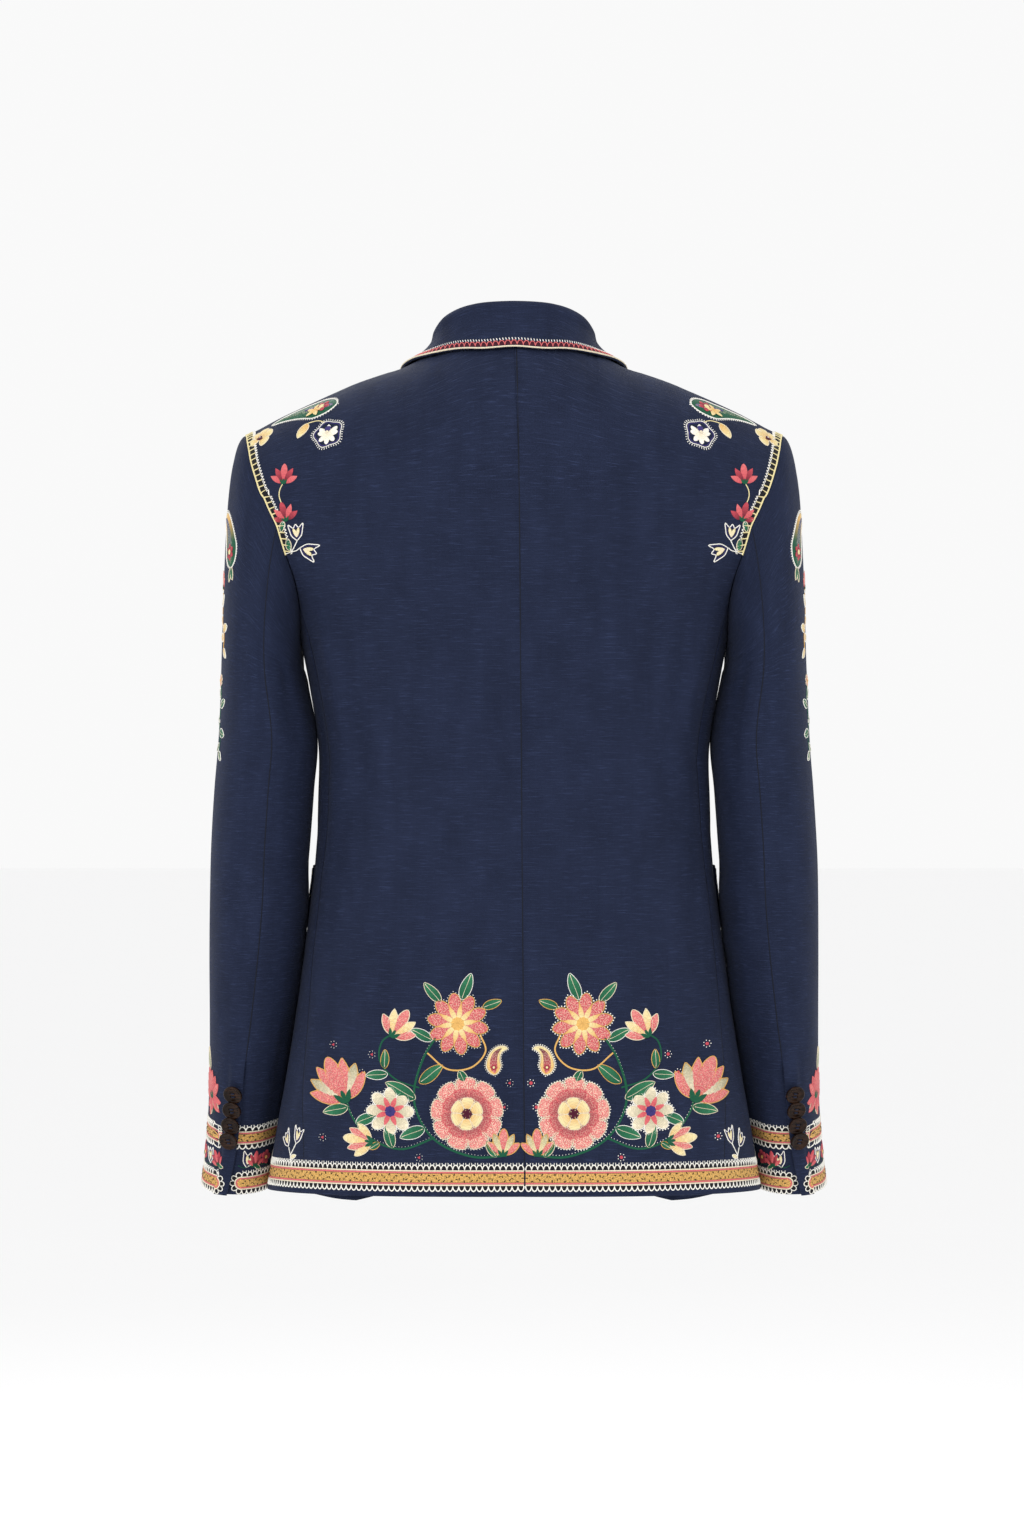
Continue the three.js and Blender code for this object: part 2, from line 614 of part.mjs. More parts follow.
function sleeveRows(side, count, from, to, lift) {
  return SLEEVE_ROWS.map((v) =>
    spread(count).map((u) => {
      const turn = mix(from(v), to(v), u);
      const n = sleeveNormal(turn, v);
      return onSide(side, sleeve(turn, v).addScaledVector(n, lift(turn, v)), n);
    }),
  );
}

function makeSleeve(label, side) {
  const gap = (turn, v) => halfGap(sleeve, turn, v);
  const topEdge = (v) => seamTurn(v) - gap(seamTurn(v), v);
  const underEdge = (v) => {
    const lap = ease(-sleeveZ(v), -VENT.top + 13, -VENT.top + 20);
    return seamTurn(v) + gap(seamTurn(v), v) - VENT.underlap * lap;
  };
  const front = (v) => FRONT_SLEEVE_TURN + gap(FRONT_SLEEVE_TURN, v) - 360;
  const underFront = (v) => FRONT_SLEEVE_TURN - gap(FRONT_SLEEVE_TURN, v);
  sew("top_sleeve_" + label, wall(sleeveRows(side, 15, front, topEdge, ventRise)), LINEN);
  sew("under_sleeve_" + label, wall(sleeveRows(side, 9, underEdge, underFront, () => 0)), SIDE_LINEN);
}

// A pocket flap lying over the front and the side panel, standing off a little at its lower edge
function makeFlap(name, side) {
  const level = (z) => (z - HEM_Z) / (ROLL_Z - HEM_Z);
  const rows = spread(4).map((v) =>
    spread(11).map((u) => {
      const corner = 8 * Math.max(Math.abs(2 * u - 1) - 0.8, 0) ** 2 / 0.04;
      const z = mix(FLAP.top, FLAP.bottom + corner, v);
      const angle = mix(FLAP.back, FLAP.front, u);
      const n = bodyNormal(angle, level(z));
      const p = body(angle, level(z)).addScaledVector(n, CLOTH + LAY_GAP + FLAP.flare * v * v);
      return onSide(side, p, n);
    }),
  );
  sew(name, wall(rows), LINEN);
}

// A dished horn button with its back on the plane z = 0
function buttonShape(radius) {
  const profile = [[0, 0], [0.86, 0], [1, 0.12], [0.98, 0.28], [0.82, 0.33], [0.7, 0.25], [0, 0.22]];
  const points = profile.map(([r, h]) => new THREE.Vector2(r * radius, h * radius));
  return new THREE.LatheGeometry(points, 14).rotateX(Math.PI / 2);
}

// A button standing on a place, its face along a direction
function makeButton(name, radius, place, facing) {
  const mesh = sew(name, buttonShape(radius), HORN);
  mesh.position.copy(place);
  mesh.quaternion.setFromUnitVectors(new THREE.Vector3(0, 0, 1), facing);
}

function makeFrontButtons() {
  FRONT_BUTTONS.forEach((z, k) => {
    const flat = (dx, dz) => frontAt(-1, dx, z + dz);
    const n = normalOf(flat, 0, 0, 1, 1);
    makeButton("front_button_" + (k + 1), FRONT_BUTTON_R, frontAt(-1, 0, z).addScaledVector(n, 0.9), n);
  });
}

// Four cuff buttons in a row along the vent, each leaning over the one above
function makeCuffButtons(label, side) {
  for (let k = 0; k < CUFF_BUTTON_COUNT; k += 1) {
    const z = CUFF_BUTTON_TOP + k * CUFF_BUTTON_STEP;
    const v = 1 + (z + CUFF_TILT * SLEEVE.at(-1).deep - CAP_Z) / (SLEEVE.at(-1).z - CAP_Z);
    const turn = seamTurn(v) - 11;
    const n = sleeveNormal(turn, v);
    const lean = radians(SHINGLE_TILT);
    const facing = n.clone().multiplyScalar(Math.cos(lean));
    facing.z -= Math.sin(lean);
    facing.normalize();
    const high = ventRise(turn, v) + 0.5 + CUFF_BUTTON_R * Math.sin(lean);
    const spot = onSide(side, sleeve(turn, v).addScaledVector(n, high), facing);
    makeButton(`cuff_button_${label}_${k + 1}`, CUFF_BUTTON_R, spot.p, spot.n);
  }
}

for (const [label, side] of SIDES) {
  makeBack("back_" + label, side);
  makeSide("side_" + label, side);
  makeFront("front_" + label, side);
  makeLapel("lapel_" + label, side);
  makeSleeve(label, side);
  makeFlap("pocket_flap_" + label, side);
  makeCuffButtons(label, side);
}
makeCollar();
makeFrontButtons();

export default jacket;
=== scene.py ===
"""Tailored linen jacket with embroidered borders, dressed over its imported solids.

Lengths in the tables are millimetres and become metres only when a mesh is made. +X is the wearer's
left, -Y the front, +Z up. Every surface is worked out for the wearer's left half and mirrored by side.
"""
import json
import math

import bpy
import numpy as np
from bpy.props import FloatProperty, FloatVectorProperty, PointerProperty
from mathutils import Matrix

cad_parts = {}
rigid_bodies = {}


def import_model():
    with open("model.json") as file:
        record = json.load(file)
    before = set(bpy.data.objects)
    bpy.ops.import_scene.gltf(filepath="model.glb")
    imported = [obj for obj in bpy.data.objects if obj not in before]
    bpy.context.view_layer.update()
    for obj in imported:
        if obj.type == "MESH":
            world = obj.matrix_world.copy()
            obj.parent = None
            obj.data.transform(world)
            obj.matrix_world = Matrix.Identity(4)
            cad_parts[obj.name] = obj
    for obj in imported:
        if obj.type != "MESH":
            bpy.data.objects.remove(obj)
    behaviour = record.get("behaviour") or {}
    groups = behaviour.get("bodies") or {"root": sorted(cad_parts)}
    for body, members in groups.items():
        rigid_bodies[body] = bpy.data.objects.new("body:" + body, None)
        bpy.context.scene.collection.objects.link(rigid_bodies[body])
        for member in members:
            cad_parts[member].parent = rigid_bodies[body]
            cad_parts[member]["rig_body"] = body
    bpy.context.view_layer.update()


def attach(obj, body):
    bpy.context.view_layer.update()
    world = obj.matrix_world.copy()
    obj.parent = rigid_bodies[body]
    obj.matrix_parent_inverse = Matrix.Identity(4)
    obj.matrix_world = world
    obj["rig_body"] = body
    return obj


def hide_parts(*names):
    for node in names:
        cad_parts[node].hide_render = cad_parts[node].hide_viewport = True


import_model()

bl_info = {
    "name": "Embroidered Linen Jacket",
    "version": (1, 0, 0),
    "blender": (4, 5, 0),
    "location": "View3D > Sidebar > Jacket",
    "description": "Builds the cloth, embroidery, buttons and stage of a tailored linen jacket",
    "category": "Add Mesh",
}

ROOT = "root"
SIDES = (("left", 1), ("right", -1))


# Sizes

class JacketSizes(bpy.types.PropertyGroup):
    cloth: FloatProperty(name="Cloth", description="Thickness of linen, canvas and turnings together",
                         default=0.002, min=0.001, max=0.003, unit="LENGTH")
    seam_groove: FloatProperty(name="Seam rounding", description="Radius to which a panel turns in at a seam",
                               default=0.0006, min=0.0002, max=0.001, unit="LENGTH")
    stitch: FloatProperty(name="Stitch", description="Distance between two satin stitches",
                          default=0.00055, min=0.0002, max=0.002, unit="LENGTH")
    weave: FloatProperty(name="Weave", description="Distance between two threads of the linen",
                         default=0.0008, min=0.0003, max=0.002, unit="LENGTH")
    slub: FloatProperty(name="Slub", description="Strength of the thick places in the linen's threads",
                        default=1.2, min=0.0, max=2.0, subtype="FACTOR")
    creasing: FloatProperty(name="Creasing", description="Depth of the soft folds against the worn ones",
                            default=1.0, min=0.0, max=1.5, subtype="FACTOR")


def srgb(text):
    """Linear colour of a six-digit hexadecimal one: each channel over 255, then the sRGB curve undone."""
    c = np.array([int(text[k:k + 2], 16) for k in (0, 2, 4)]) / 255
    return tuple(np.where(c <= 0.04045, c / 12.92, ((c + 0.055) / 1.055) ** 2.4).tolist())


def colour(name, about, text):
    return FloatVectorProperty(name=name, description=about, default=srgb(text), subtype="COLOR",
                               min=0, max=1)


class JacketColours(bpy.types.PropertyGroup):
    linen: colour("Linen", "Ground colour of the linen", "181f34")
    linen_light: colour("Linen light", "Colour of the linen's paler threads", "2e3753")
    horn: colour("Horn", "Main colour of the buttons", "20120a")
    coral: colour("Coral", "Thread of the flowers", "c44a55")
    rose: colour("Rose", "Paler thread of the flowers", "d96f70")
    burgundy: colour("Burgundy", "Darkest thread of the flowers and the collar border", "4a0f26")
    green: colour("Green", "Thread of stems and leaves", "0e5238")
    leaf: colour("Leaf", "Paler thread of the leaves", "2f7550")
    gold: colour("Gold", "Thread of the borders", "dbab60")
    straw: colour("Straw", "Pale cord along the borders", "e8daa4")
    cream: colour("Cream", "Thread of outlines", "e9dcc0")
    white: colour("White", "Thread of picots and beads", "f4f1e8")
    indigo: colour("Indigo", "Thread of flower hearts", "39306e")
    ink: colour("Ink", "Dark thread under the loops of the borders", "100f16")
    sage: colour("Sage", "Grey-green filling", "9b9574")


def mm(name):
    return getattr(bpy.context.scene.jacket_sizes, name) * 1000


def tint(name):
    return tuple(getattr(bpy.context.scene.jacket_colours, name))


# Tables of the cut

def columns(names, rows):
    """A table as arrays by column name; the first column is the key and may rise or fall."""
    return dict(zip(names.split(), np.array(rows, float).T))


CLOTH = 2.0
LAY_GAP = 0.5
COLLAR_CLEAR = CLOTH + 1.9
COLLAR_INSET = CLOTH + 0.7
HEM_Z, ROLL_Z, DIP_TOP_Z = -647.0, -120.0, -450.0
SHOULDER_SEAM_Y = 4.0
ROLL_POWER, RING_POWER, SLEEVE_POWER, NECK_POWER = 2.3, 2.3, 2.15, 2.5
NECK_HALF_WIDTH, NECK_BACK_DEPTH = 60.5, 62.0
SEAM_DRIFT, BREAK_Z, OVERLAP, OVERLAP_RISE = -8.0, -325.0, 18.0, CLOTH + 0.6
FLAP_TOP, FLAP_BOTTOM, FLAP_BACK, FLAP_FRONT, FLAP_FLARE = -402.0, -452.0, 97.0, 139.0, 1.6
SHOULDER_HALF, LAST_HALF = 226.0, 222.0
BACK_SIDE_TURN, FRONT_SIDE_TURN, FRONT_SLEEVE_TURN = 138.0, 148.0, 222.0
COLLAR_END_LEVEL, FIRST_LEVEL = 1.37, 0.7
CUFF_TILT, TILT_FROM_Z, CAP_Z, CUFF_Z = 0.13, -400.0, -262.0, -652.0
VENT_TOP, VENT_UNDERLAP, VENT_RISE, VENT_REACH, VENT_LIFT = -546.0, 15.0, CLOTH + 0.6, 24.0, 1.2
HEIGHT = ROLL_Z - HEM_Z

BODY = columns("z half back front", [
    (-647, 190.5, 122, 128), (-600, 182.5, 121, 126), (-560, 175.0, 119, 123), (-516, 168.0, 116, 119),
    (-473, 162.5, 112, 115), (-430, 157.5, 107, 111), (-390, 154.0, 103, 108), (-350, 151.5, 100, 107),
    (-310, 150.5, 100, 110), (-262, 157.5, 103, 116), (-225, 165.0, 105, 117), (-205, 170.0, 106, 115),
    (-190, 179.0, 106, 113), (-163, 203.0, 106, 109), (-143, 215.0, 106, 105), (-120, 222.0, 105, 101)])
SHOULDER = columns("x z", [
    (-30, 16), (0, 23), (30, 16), (60, -1), (85, -15), (102, -20.4), (121, -27), (135, -33), (155, -41.8),
    (177, -51.8), (188, -57.6), (198, -63), (209, -68), (222, -79), (240, -97)])
HEM_DROP = columns("angle drop", [
    (-20, 0), (0, 0), (30, 0.7), (60, 3), (80, 5.5), (95, 8), (113, 12.5), (125, 19), (135, 25.5),
    (145, 28.5), (160, 28), (180, 26)])
FORMS = {
    "back": [(78, -165, 46, 62, 5), (0, -335, 52, 95, -5), (142, -235, 16, 60, 4), (96, -610, 44, 80, 2.5)],
    "front": [(84, -238, 50, 58, 15), (0, -345, 60, 70, -4), (120, -150, 26, 40, -3)]}
BACK_SIDE_SEAM = columns("level angle", [
    (0, 55), (0.062, 56), (0.16, 62), (0.264, 66.5), (0.34, 68.5), (0.5, 68), (0.7, 68), (0.845, 70)])
FRONT_SIDE_SEAM = columns("level angle", [(0, 113), (0.3, 110), (0.55, 107.5), (0.83, 107)])
FRONT_EDGE = columns("level x", [
    (0, 128), (0.012, 102), (0.03, 76), (0.055, 55), (0.09, 35.5), (0.14, 17), (0.2, 1.5), (0.27, -10),
    (0.35, -16.8), (0.43, -18), (0.62, -18)])
ARMHOLE = columns("turn level back front", [
    (-22.5, 2.345, 64.5, 113.4), (0, 2.0, 63.6, 116.4), (22.5, 1.655, 62.7, 119.4),
    (45, 1.344, 60.8, 124.1), (67.5, 1.06, 57.2, 127.6), (78, 0.998, 55.5, 128.3), (90, 0.955, 53.5, 128.7),
    (112.5, 0.898, 58, 123.8), (135, 0.851, 68.9, 115.3), (157.5, 0.819, 79, 102.5), (180, 0.8075, 90, 90),
    (202.5, 0.819, 101, 77.5)])
SLEEVE = columns("z outer inner mid deep", [
    (-262, 228.5, 162, -3, 66), (-304, 230, 154.5, 2, 63), (-343, 232.8, 157, 6, 59),
    (-391, 235.5, 159.5, 8, 56), (-430, 236.6, 160.5, 5, 54.5), (-473, 237.2, 165, -1, 53),
    (-516, 237.8, 171.5, -10, 51.5), (-560, 238.8, 178, -21, 50.5), (-600, 240.8, 183, -32, 49.5),
    (-630, 243.8, 186, -40, 49), (-652, 247, 188, -45, 49)])
BACK_SLEEVE_SEAM = columns("z turn", [
    (-120, 87), (-262, 100), (-343, 101), (-430, 99), (-516, 94), (-551, 90), (-600, 88), (-635, 83),
    (-652, 79)])
COLLAR = columns("s stand ex ey bow", [
    (-0.15, 28, -28, 72, 1), (0, 27.5, 0, 75, 1), (0.15, 28, 28, 72, 1), (0.3, 23, 55, 57, 2.5),
    (0.4, 16.5, 72, 40, 4), (0.5, 13.5, 85, 10, 5), (0.62, 11.5, 90, -22, 4.5), (0.75, 9.3, 94, -48, 3),
    (0.88, 7.2, 97, -68, 1.5), (1, 5.5, 98.5, -80, 0)])
LAPEL_TOP, LAPEL_WIDTH, LAPEL_SLOPE, LAPEL_OVER = -53.0, 74.0, 0.4, CLOTH + LAY_GAP
LAPEL_ROLL = np.array([(-2.7, -2.0), (-3.4, 0.4), (-2, 3.1), (1.2, 4.6), (6, 4.3)])
LOW_LEVELS = [0, 0.012, 0.03, 0.055, 0.09, 0.14, 0.2, 0.27, 0.35, 0.43, 0.51, 0.58, 0.64, 0.7, 0.77, 0.81]

# Soft folds of the torso: side (0 both), two ends as angle and level, width, depth (minus a trough), bend
TORSO_FOLDS = np.array([
    (0, 50, 0.86, 46, 0.55, 11, -2.6, 5), (0, 41, 0.83, 37, 0.6, 9, -1.6, -3),
    (0, 58, 0.84, 55, 0.62, 9, 1.8, 3), (1, 7, 0.98, 9, 0.66, 12, -1.5, 3),
    (-1, 8, 0.94, 6, 0.62, 10, -1.7, -3), (-1, 15, 0.86, 13, 0.6, 9, 1.0, 2),
    (1, 16, 0.8, 19, 0.5, 11, -1.0, 4), (1, 30, 0.62, 34, 0.36, 13, -1.3, 3),
    (-1, 28, 0.66, 33, 0.4, 12, -1.5, -4), (0, 70, 0.62, 30, 0.55, 10, -1.0, -8),
    (1, 66, 0.5, 38, 0.47, 9, -0.9, 4), (-1, 68, 0.53, 34, 0.5, 9, -1.1, 5),
    (0, 60, 0.3, 56, 0.04, 14, 1.6, 3), (1, 24, 0.28, 27, 0.03, 15, -1.4, 2),
    (-1, 22, 0.3, 25, 0.02, 14, -1.6, -3), (0, 41, 0.24, 43, 0.0, 12, -1.2, 2),
    (1, 72, 0.74, 66, 0.46, 10, -1.8, 4), (-1, 70, 0.75, 67, 0.44, 11, -2.0, -4),
    (0, 88, 0.9, 88, 0.52, 36, 1.9, 0), (0, 88, 0.44, 88, -0.1, 36, 2.1, 0),
    (0, 96, 0.7, 100, 0.4, 10, 1.4, 3), (0, 128, 0.92, 132, 0.7, 10, -2.0, 6),
    (0, 118, 0.8, 134, 0.62, 10, -1.5, 6), (1, 125, 0.5, 150, 0.56, 9, -1.2, 6),
    (-1, 122, 0.52, 152, 0.55, 9, -1.2, -6), (0, 140, 0.3, 146, 0.06, 14, -1.5, 3),
    (1, 104, 0.28, 106, 0.02, 12, 1.2, 2), (-1, 103, 0.3, 100, 0.04, 12, 1.3, -2),
    (1, 150, 0.36, 168, 0.3, 10, -1.0, 4), (0, 36, 1.34, 30, 1.05, 14, -0.9, 4),
    (0, 52, 1.5, 44, 1.08, 9, -0.8, 3), (0, 126, 1.4, 134, 1.1, 10, -1.0, 4)])
# Soft folds of the sleeves: side, two ends as turn and v, width, depth, bend
SLEEVE_FOLDS = np.array([
    (0, 180, 0.7, 180, 1.34, 34, 1.6, 0), (0, 176, 1.38, 172, 2.1, 30, 1.7, 0),
    (0, 100, 0.55, 96, 1.15, 8, -1.6, 4), (0, 120, 0.75, 130, 1.2, 8, -1.8, -4),
    (0, 75, 0.6, 70, 1.0, 9, -0.9, 3), (1, 176, 1.42, 118, 1.36, 8, -1.8, 5),
    (-1, 178, 1.4, 122, 1.35, 8, -1.7, 6), (1, 182, 1.5, 128, 1.48, 7, -1.6, 5),
    (-1, 184, 1.49, 124, 1.46, 7, -1.7, 6), (0, 188, 1.56, 136, 1.56, 7, -1.2, 4),
    (1, 234, 1.46, 274, 1.36, 8, -1.6, -6), (-1, 230, 1.44, 272, 1.34, 8, -1.7, -6),
    (0, 236, 1.54, 276, 1.48, 8, -1.4, -5), (0, 240, 0.75, 262, 1.15, 9, -1.6, 4),
    (1, 90, 1.3, 62, 1.44, 11, -1.1, 4), (-1, 92, 1.28, 58, 1.42, 11, -1.2, 5),
    (1, 84, 1.58, 50, 1.66, 10, -0.9, 4), (-1, 86, 1.62, 52, 1.7, 10, -0.9, -4),
    (0, 20, 0.1, 24, 0.5, 9, 0.7, 2), (0, 335, 0.12, 330, 0.5, 9, 0.7, 2),
    (0, 148, 1.66, 140, 1.95, 9, -1.2, 3), (0, 210, 1.6, 214, 1.9, 10, -1.2, 3),
    (0, 310, 1.2, 300, 1.7, 13, -0.8, 5)])

# Surfaces of the cut


def at(table, name, value):
    """A column at values of the table's key: a cubic between rows whose slope at a row is that of its two
    neighbours, carried on straight past both ends."""
    key, col = table[next(iter(table))], table[name]
    if key[0] > key[-1]:
        key, col = key[::-1], col[::-1]
    k = np.arange(len(key))
    low, high = np.maximum(k - 1, 0), np.minimum(k + 1, len(key) - 1)
    slope = (col[high] - col[low]) / (key[high] - key[low])
    value = np.asarray(value, float)
    i = np.clip(np.searchsorted(key, value, side="right") - 1, 0, len(key) - 2)
    step = key[i + 1] - key[i]
    t = (value - key[i]) / step
    u = np.clip(t, 0, 1)
    y = col[i] * (2 * u**3 - 3 * u**2 + 1) + col[i + 1] * (3 * u**2 - 2 * u**3)
    y = y + step * (slope[i] * (u**3 - 2 * u**2 + u) + slope[i + 1] * (u**3 - u**2))
    return y + step * (slope[i] * np.minimum(t, 0) + slope[i + 1] * np.maximum(t - 1, 0))


def mix(a, b, t):
    return a + (b - a) * t


def ease(x, start, end):
    """Smooth step from 0 at start to 1 at end: 3t^2 - 2t^3."""
    t = np.clip((x - start) / (end - start), 0, 1)
    return t * t * (3 - 2 * t)


def vec(*parts):
    return np.stack(np.broadcast_arrays(*parts), axis=-1).astype(float)


def unit(v):
    return v / np.maximum(np.linalg.norm(v, axis=-1, keepdims=True), 1e-12)


def rounded(angle, power):
    """Sine and cosine of an angle, drawn out to the unit superellipse of that power."""
    s, c = np.sin(angle), np.cos(angle)
    reach = (np.abs(s) ** power + np.abs(c) ** power) ** (-1 / power)
    return s * reach, c * reach


def rounded_angle(out, power):
    """Angle at which such a curve is that far out sideways."""
    side = np.minimum(np.abs(out), 0.99999)
    return np.sign(out) * np.arctan2(side, (1 - side**power) ** (1 / power))


def form(place, x, z):
    """Sum of the bell-shaped bumps of the back or the front, each one mirrored about the centre."""
    total = 0.0
    for cx, cz, wide, high, rise in FORMS[place]:
        for centre in {cx, -cx}:
            total = total + rise * np.exp(-(((x - centre) / wide) ** 2) - ((z - cz) / high) ** 2)
    return total


def body(angle, level):
    """The torso's outer surface: a superellipse ring at each height, pushed out by the bumps and let down
    at the hem; above level 1 it rolls over to the shoulder seam on a quarter superellipse."""
    angle, level = np.broadcast_arrays(np.asarray(angle, float), np.asarray(level, float))
    flat_z = mix(HEM_Z, ROLL_Z, np.minimum(level, 1))
    over = np.maximum(level - 1, 0)
    back = np.abs(angle) < 90
    depth = np.where(back, at(BODY, "back", flat_z), at(BODY, "front", flat_z))
    across, along = rounded(np.radians(angle), RING_POWER)
    x = (at(BODY, "half", flat_z) + over * (SHOULDER_HALF - LAST_HALF)) * across
    dip = at(HEM_DROP, "drop", angle) * np.maximum((DIP_TOP_Z - flat_z) / (DIP_TOP_Z - HEM_Z), 0)
    bump = np.where(back, form("back", x, flat_z), form("front", x, flat_z))
    y = depth * along + bump * ease(np.abs(along), 0, 0.5) * np.sign(along)
    up, out = rounded(over * np.pi / 2, ROLL_POWER)
    ridge = at(SHOULDER, "z", np.abs(x))
    low = level <= 1
    return vec(x, np.where(low, y, mix(SHOULDER_SEAM_Y, y, out)),
               np.where(low, flat_z - dip, mix(ROLL_Z, ridge, up)))


def normal_of(surface, u, v, du, dv):
    """Unit cross product of two short steps over a surface."""
    return unit(np.cross(surface(u + du, v) - surface(u - du, v), surface(u, v + dv) - surface(u, v - dv)))


def fold_depth(table, side, u, v, pace_u, pace_v):
    """Sum of soft folds: each is a bell across a bent line from one place to another, and swells and
    fades along it as the square root of a half sine."""
    total = np.zeros(np.broadcast(u, v).shape)
    for only, u0, v0, u1, v1, wide, depth, bend in table:
        if only and only != side:
            continue
        ax, ay = (u1 - u0) * pace_u, (v1 - v0) * pace_v
        length = math.hypot(ax, ay)
        px, py = (u - u0) * pace_u, (v - v0) * pace_v
        t = (px * ax + py * ay) / length**2
        off = (py * ax - px * ay) / length - bend * 4 * t * (1 - t)
        swell = np.sqrt(np.clip(np.sin(np.pi * np.clip(t, 0, 1)), 0, 1))
        total += depth * swell * np.exp(-((off / (wide * (0.7 + 0.5 * np.clip(t, 0, 1)))) ** 2))
    return total


def body_normal(angle, level):
    return normal_of(body, angle, level, -0.2, 0.002)


def torso_skin(side):
    """The torso's surface for one side with its folds and the faint cockling of linen, before mirroring."""
    def skin(angle, level):
        angle, level = np.broadcast_arrays(np.asarray(angle, float), np.asarray(level, float))
        x, z = angle * 2.6, level * HEIGHT
        fade = bpy.context.scene.jacket_sizes.creasing * ease(angle, 1, 9)
        depth = fold_depth(TORSO_FOLDS, side, angle, level, 2.6, HEIGHT) * fade
        ripple = 0.16 * np.sin(x / 9.5 + 1.1 * np.sin(z / 47) + side)
        depth = depth + ripple * np.sin(z / 23 + 0.7 * np.sin(x / 31))
        return body(angle, level) + depth[..., None] * body_normal(angle, level)
    return skin


def skin_normal(skin, u, v):
    return normal_of(skin, u, v, -0.3, 0.0015)


def torso_surface(side):
    """The torso's skin for one side, and its normals."""
    skin = torso_skin(side)
    return skin, lambda angle, level: skin_normal(skin, angle, level)


def armhole(turn):
    """Level and angle of the armhole's edge at a turn round the sleeve; turns past 180 are the front."""
    turn = np.asarray(turn, float)
    front = turn > 180
    bent = np.where(front, 360 - turn, turn)
    return at(ARMHOLE, "level", bent), np.where(front, at(ARMHOLE, "front", bent), at(ARMHOLE, "back", bent))


def half_width(level):
    over = np.maximum(level - 1, 0)
    return at(BODY, "half", mix(HEM_Z, ROLL_Z, np.minimum(level, 1))) + over * (SHOULDER_HALF - LAST_HALF)


def angle_at(x, level, front):
    """Angle at which the torso is that far sideways at a level, on the back or the front."""
    angle = np.degrees(rounded_angle(x / half_width(level), RING_POWER))
    return 180 - angle if front else angle


def back_place(x, z):
    """Angle and level of a place on the back, given as seen from behind: the hem's drop is taken off the
    height, and above the roll the level comes from the height's share of the shoulder's ridge."""
    x, z = np.broadcast_arrays(np.asarray(x, float), np.asarray(z, float))
    level = np.clip((z - HEM_Z) / HEIGHT, 0, 1)
    for _ in range(3):
        drop = at(HEM_DROP, "drop", angle_at(x, level, False))
        share = drop / (DIP_TOP_Z - HEM_Z)
        low = np.where(z < DIP_TOP_Z, (z + share * DIP_TOP_Z) / (1 + share), z)
        up = np.clip((z - ROLL_Z) / (at(SHOULDER, "z", np.abs(x)) - ROLL_Z), 0, 0.9999)
        level = np.where(z < ROLL_Z, (low - HEM_Z) / HEIGHT, 1 + rounded_angle(up, ROLL_POWER) / (np.pi / 2))
    return angle_at(x, level, False), level


def sleeve_ring(turn, z):
    """A superellipse section of the sleeve, tilted forward towards the cuff."""
    deep, wide = rounded(np.radians(turn), SLEEVE_POWER)
    outer, inner, half = at(SLEEVE, "outer", z), at(SLEEVE, "inner", z), at(SLEEVE, "deep", z)
    tilt = CUFF_TILT * ease(-z, -TILT_FROM_Z, 600)
    return vec((outer + inner) / 2 + wide * (outer - inner) / 2, at(SLEEVE, "mid", z) + deep * half,
               z - tilt * deep * half)


def sleeve(turn, v, gap=0.35):
    """The sleeve's outer surface: a cubic Bezier from the armhole's edge to the first section for v from 0
    to 1, then the sections down to the cuff at v = 2."""
    turn, v = np.broadcast_arrays(np.asarray(turn, float) % 360, np.asarray(v, float))
    level, angle = armhole(turn)
    c, s = np.cos(np.radians(turn)), np.sin(np.radians(turn))
    away = unit(vec(0.75 + 0.25 * c, -0.25 * s, -0.25 * c))
    start = body(angle, level) + away * (gap + 0.7 * np.maximum(c, 0) ** 4)[..., None]
    end = sleeve_ring(turn, CAP_Z)
    first = start + vec(8 + 9 * c, 5 * s, -12 - 3 * s * s + 3 * c)
    rise = (start[..., 2] - end[..., 2])[..., None]
    last = end + (sleeve_ring(turn, CAP_Z - 2) - end) * (-0.36 * rise / 2)
    t = np.clip(v, 0, 1)[..., None]
    cap = start * (1 - t) ** 3 + 3 * first * t * (1 - t) ** 2 + 3 * last * t * t * (1 - t) + end * t**3
    arm = sleeve_ring(turn, mix(CAP_Z, CUFF_Z, np.maximum(v - 1, 0)))
    return np.where((v < 1)[..., None], cap, arm)


def sleeve_z(v):
    return np.where(v < 1, mix(-140, CAP_Z, v), mix(CAP_Z, CUFF_Z, v - 1))


def seam_turn(v):
    return at(BACK_SLEEVE_SEAM, "turn", sleeve_z(v))


def vent_rise(turn, v):
    """How far the top sleeve stands out where it laps the vent: full past its edge, none beyond its reach."""
    z = -sleeve_z(v)
    along = ease(z, -VENT_TOP - 6, -VENT_TOP + 8)
    opening = VENT_LIFT * ease(z, 610, 655)
    seam_shadow = seam_turn(v)
    return (VENT_RISE + opening) * along * ease(turn, seam_shadow - VENT_REACH, seam_shadow - VENT_UNDERLAP - 2)


def down_step(v):
    """Step down the sleeve for a normal, longer across the join of the cap and the arm."""
    return np.where((v > 0.9) & (v < 1.1), 0.03, 0.004)


def sleeve_normal(turn, v):
    return -normal_of(sleeve, turn, v, 0.4, down_step(v))


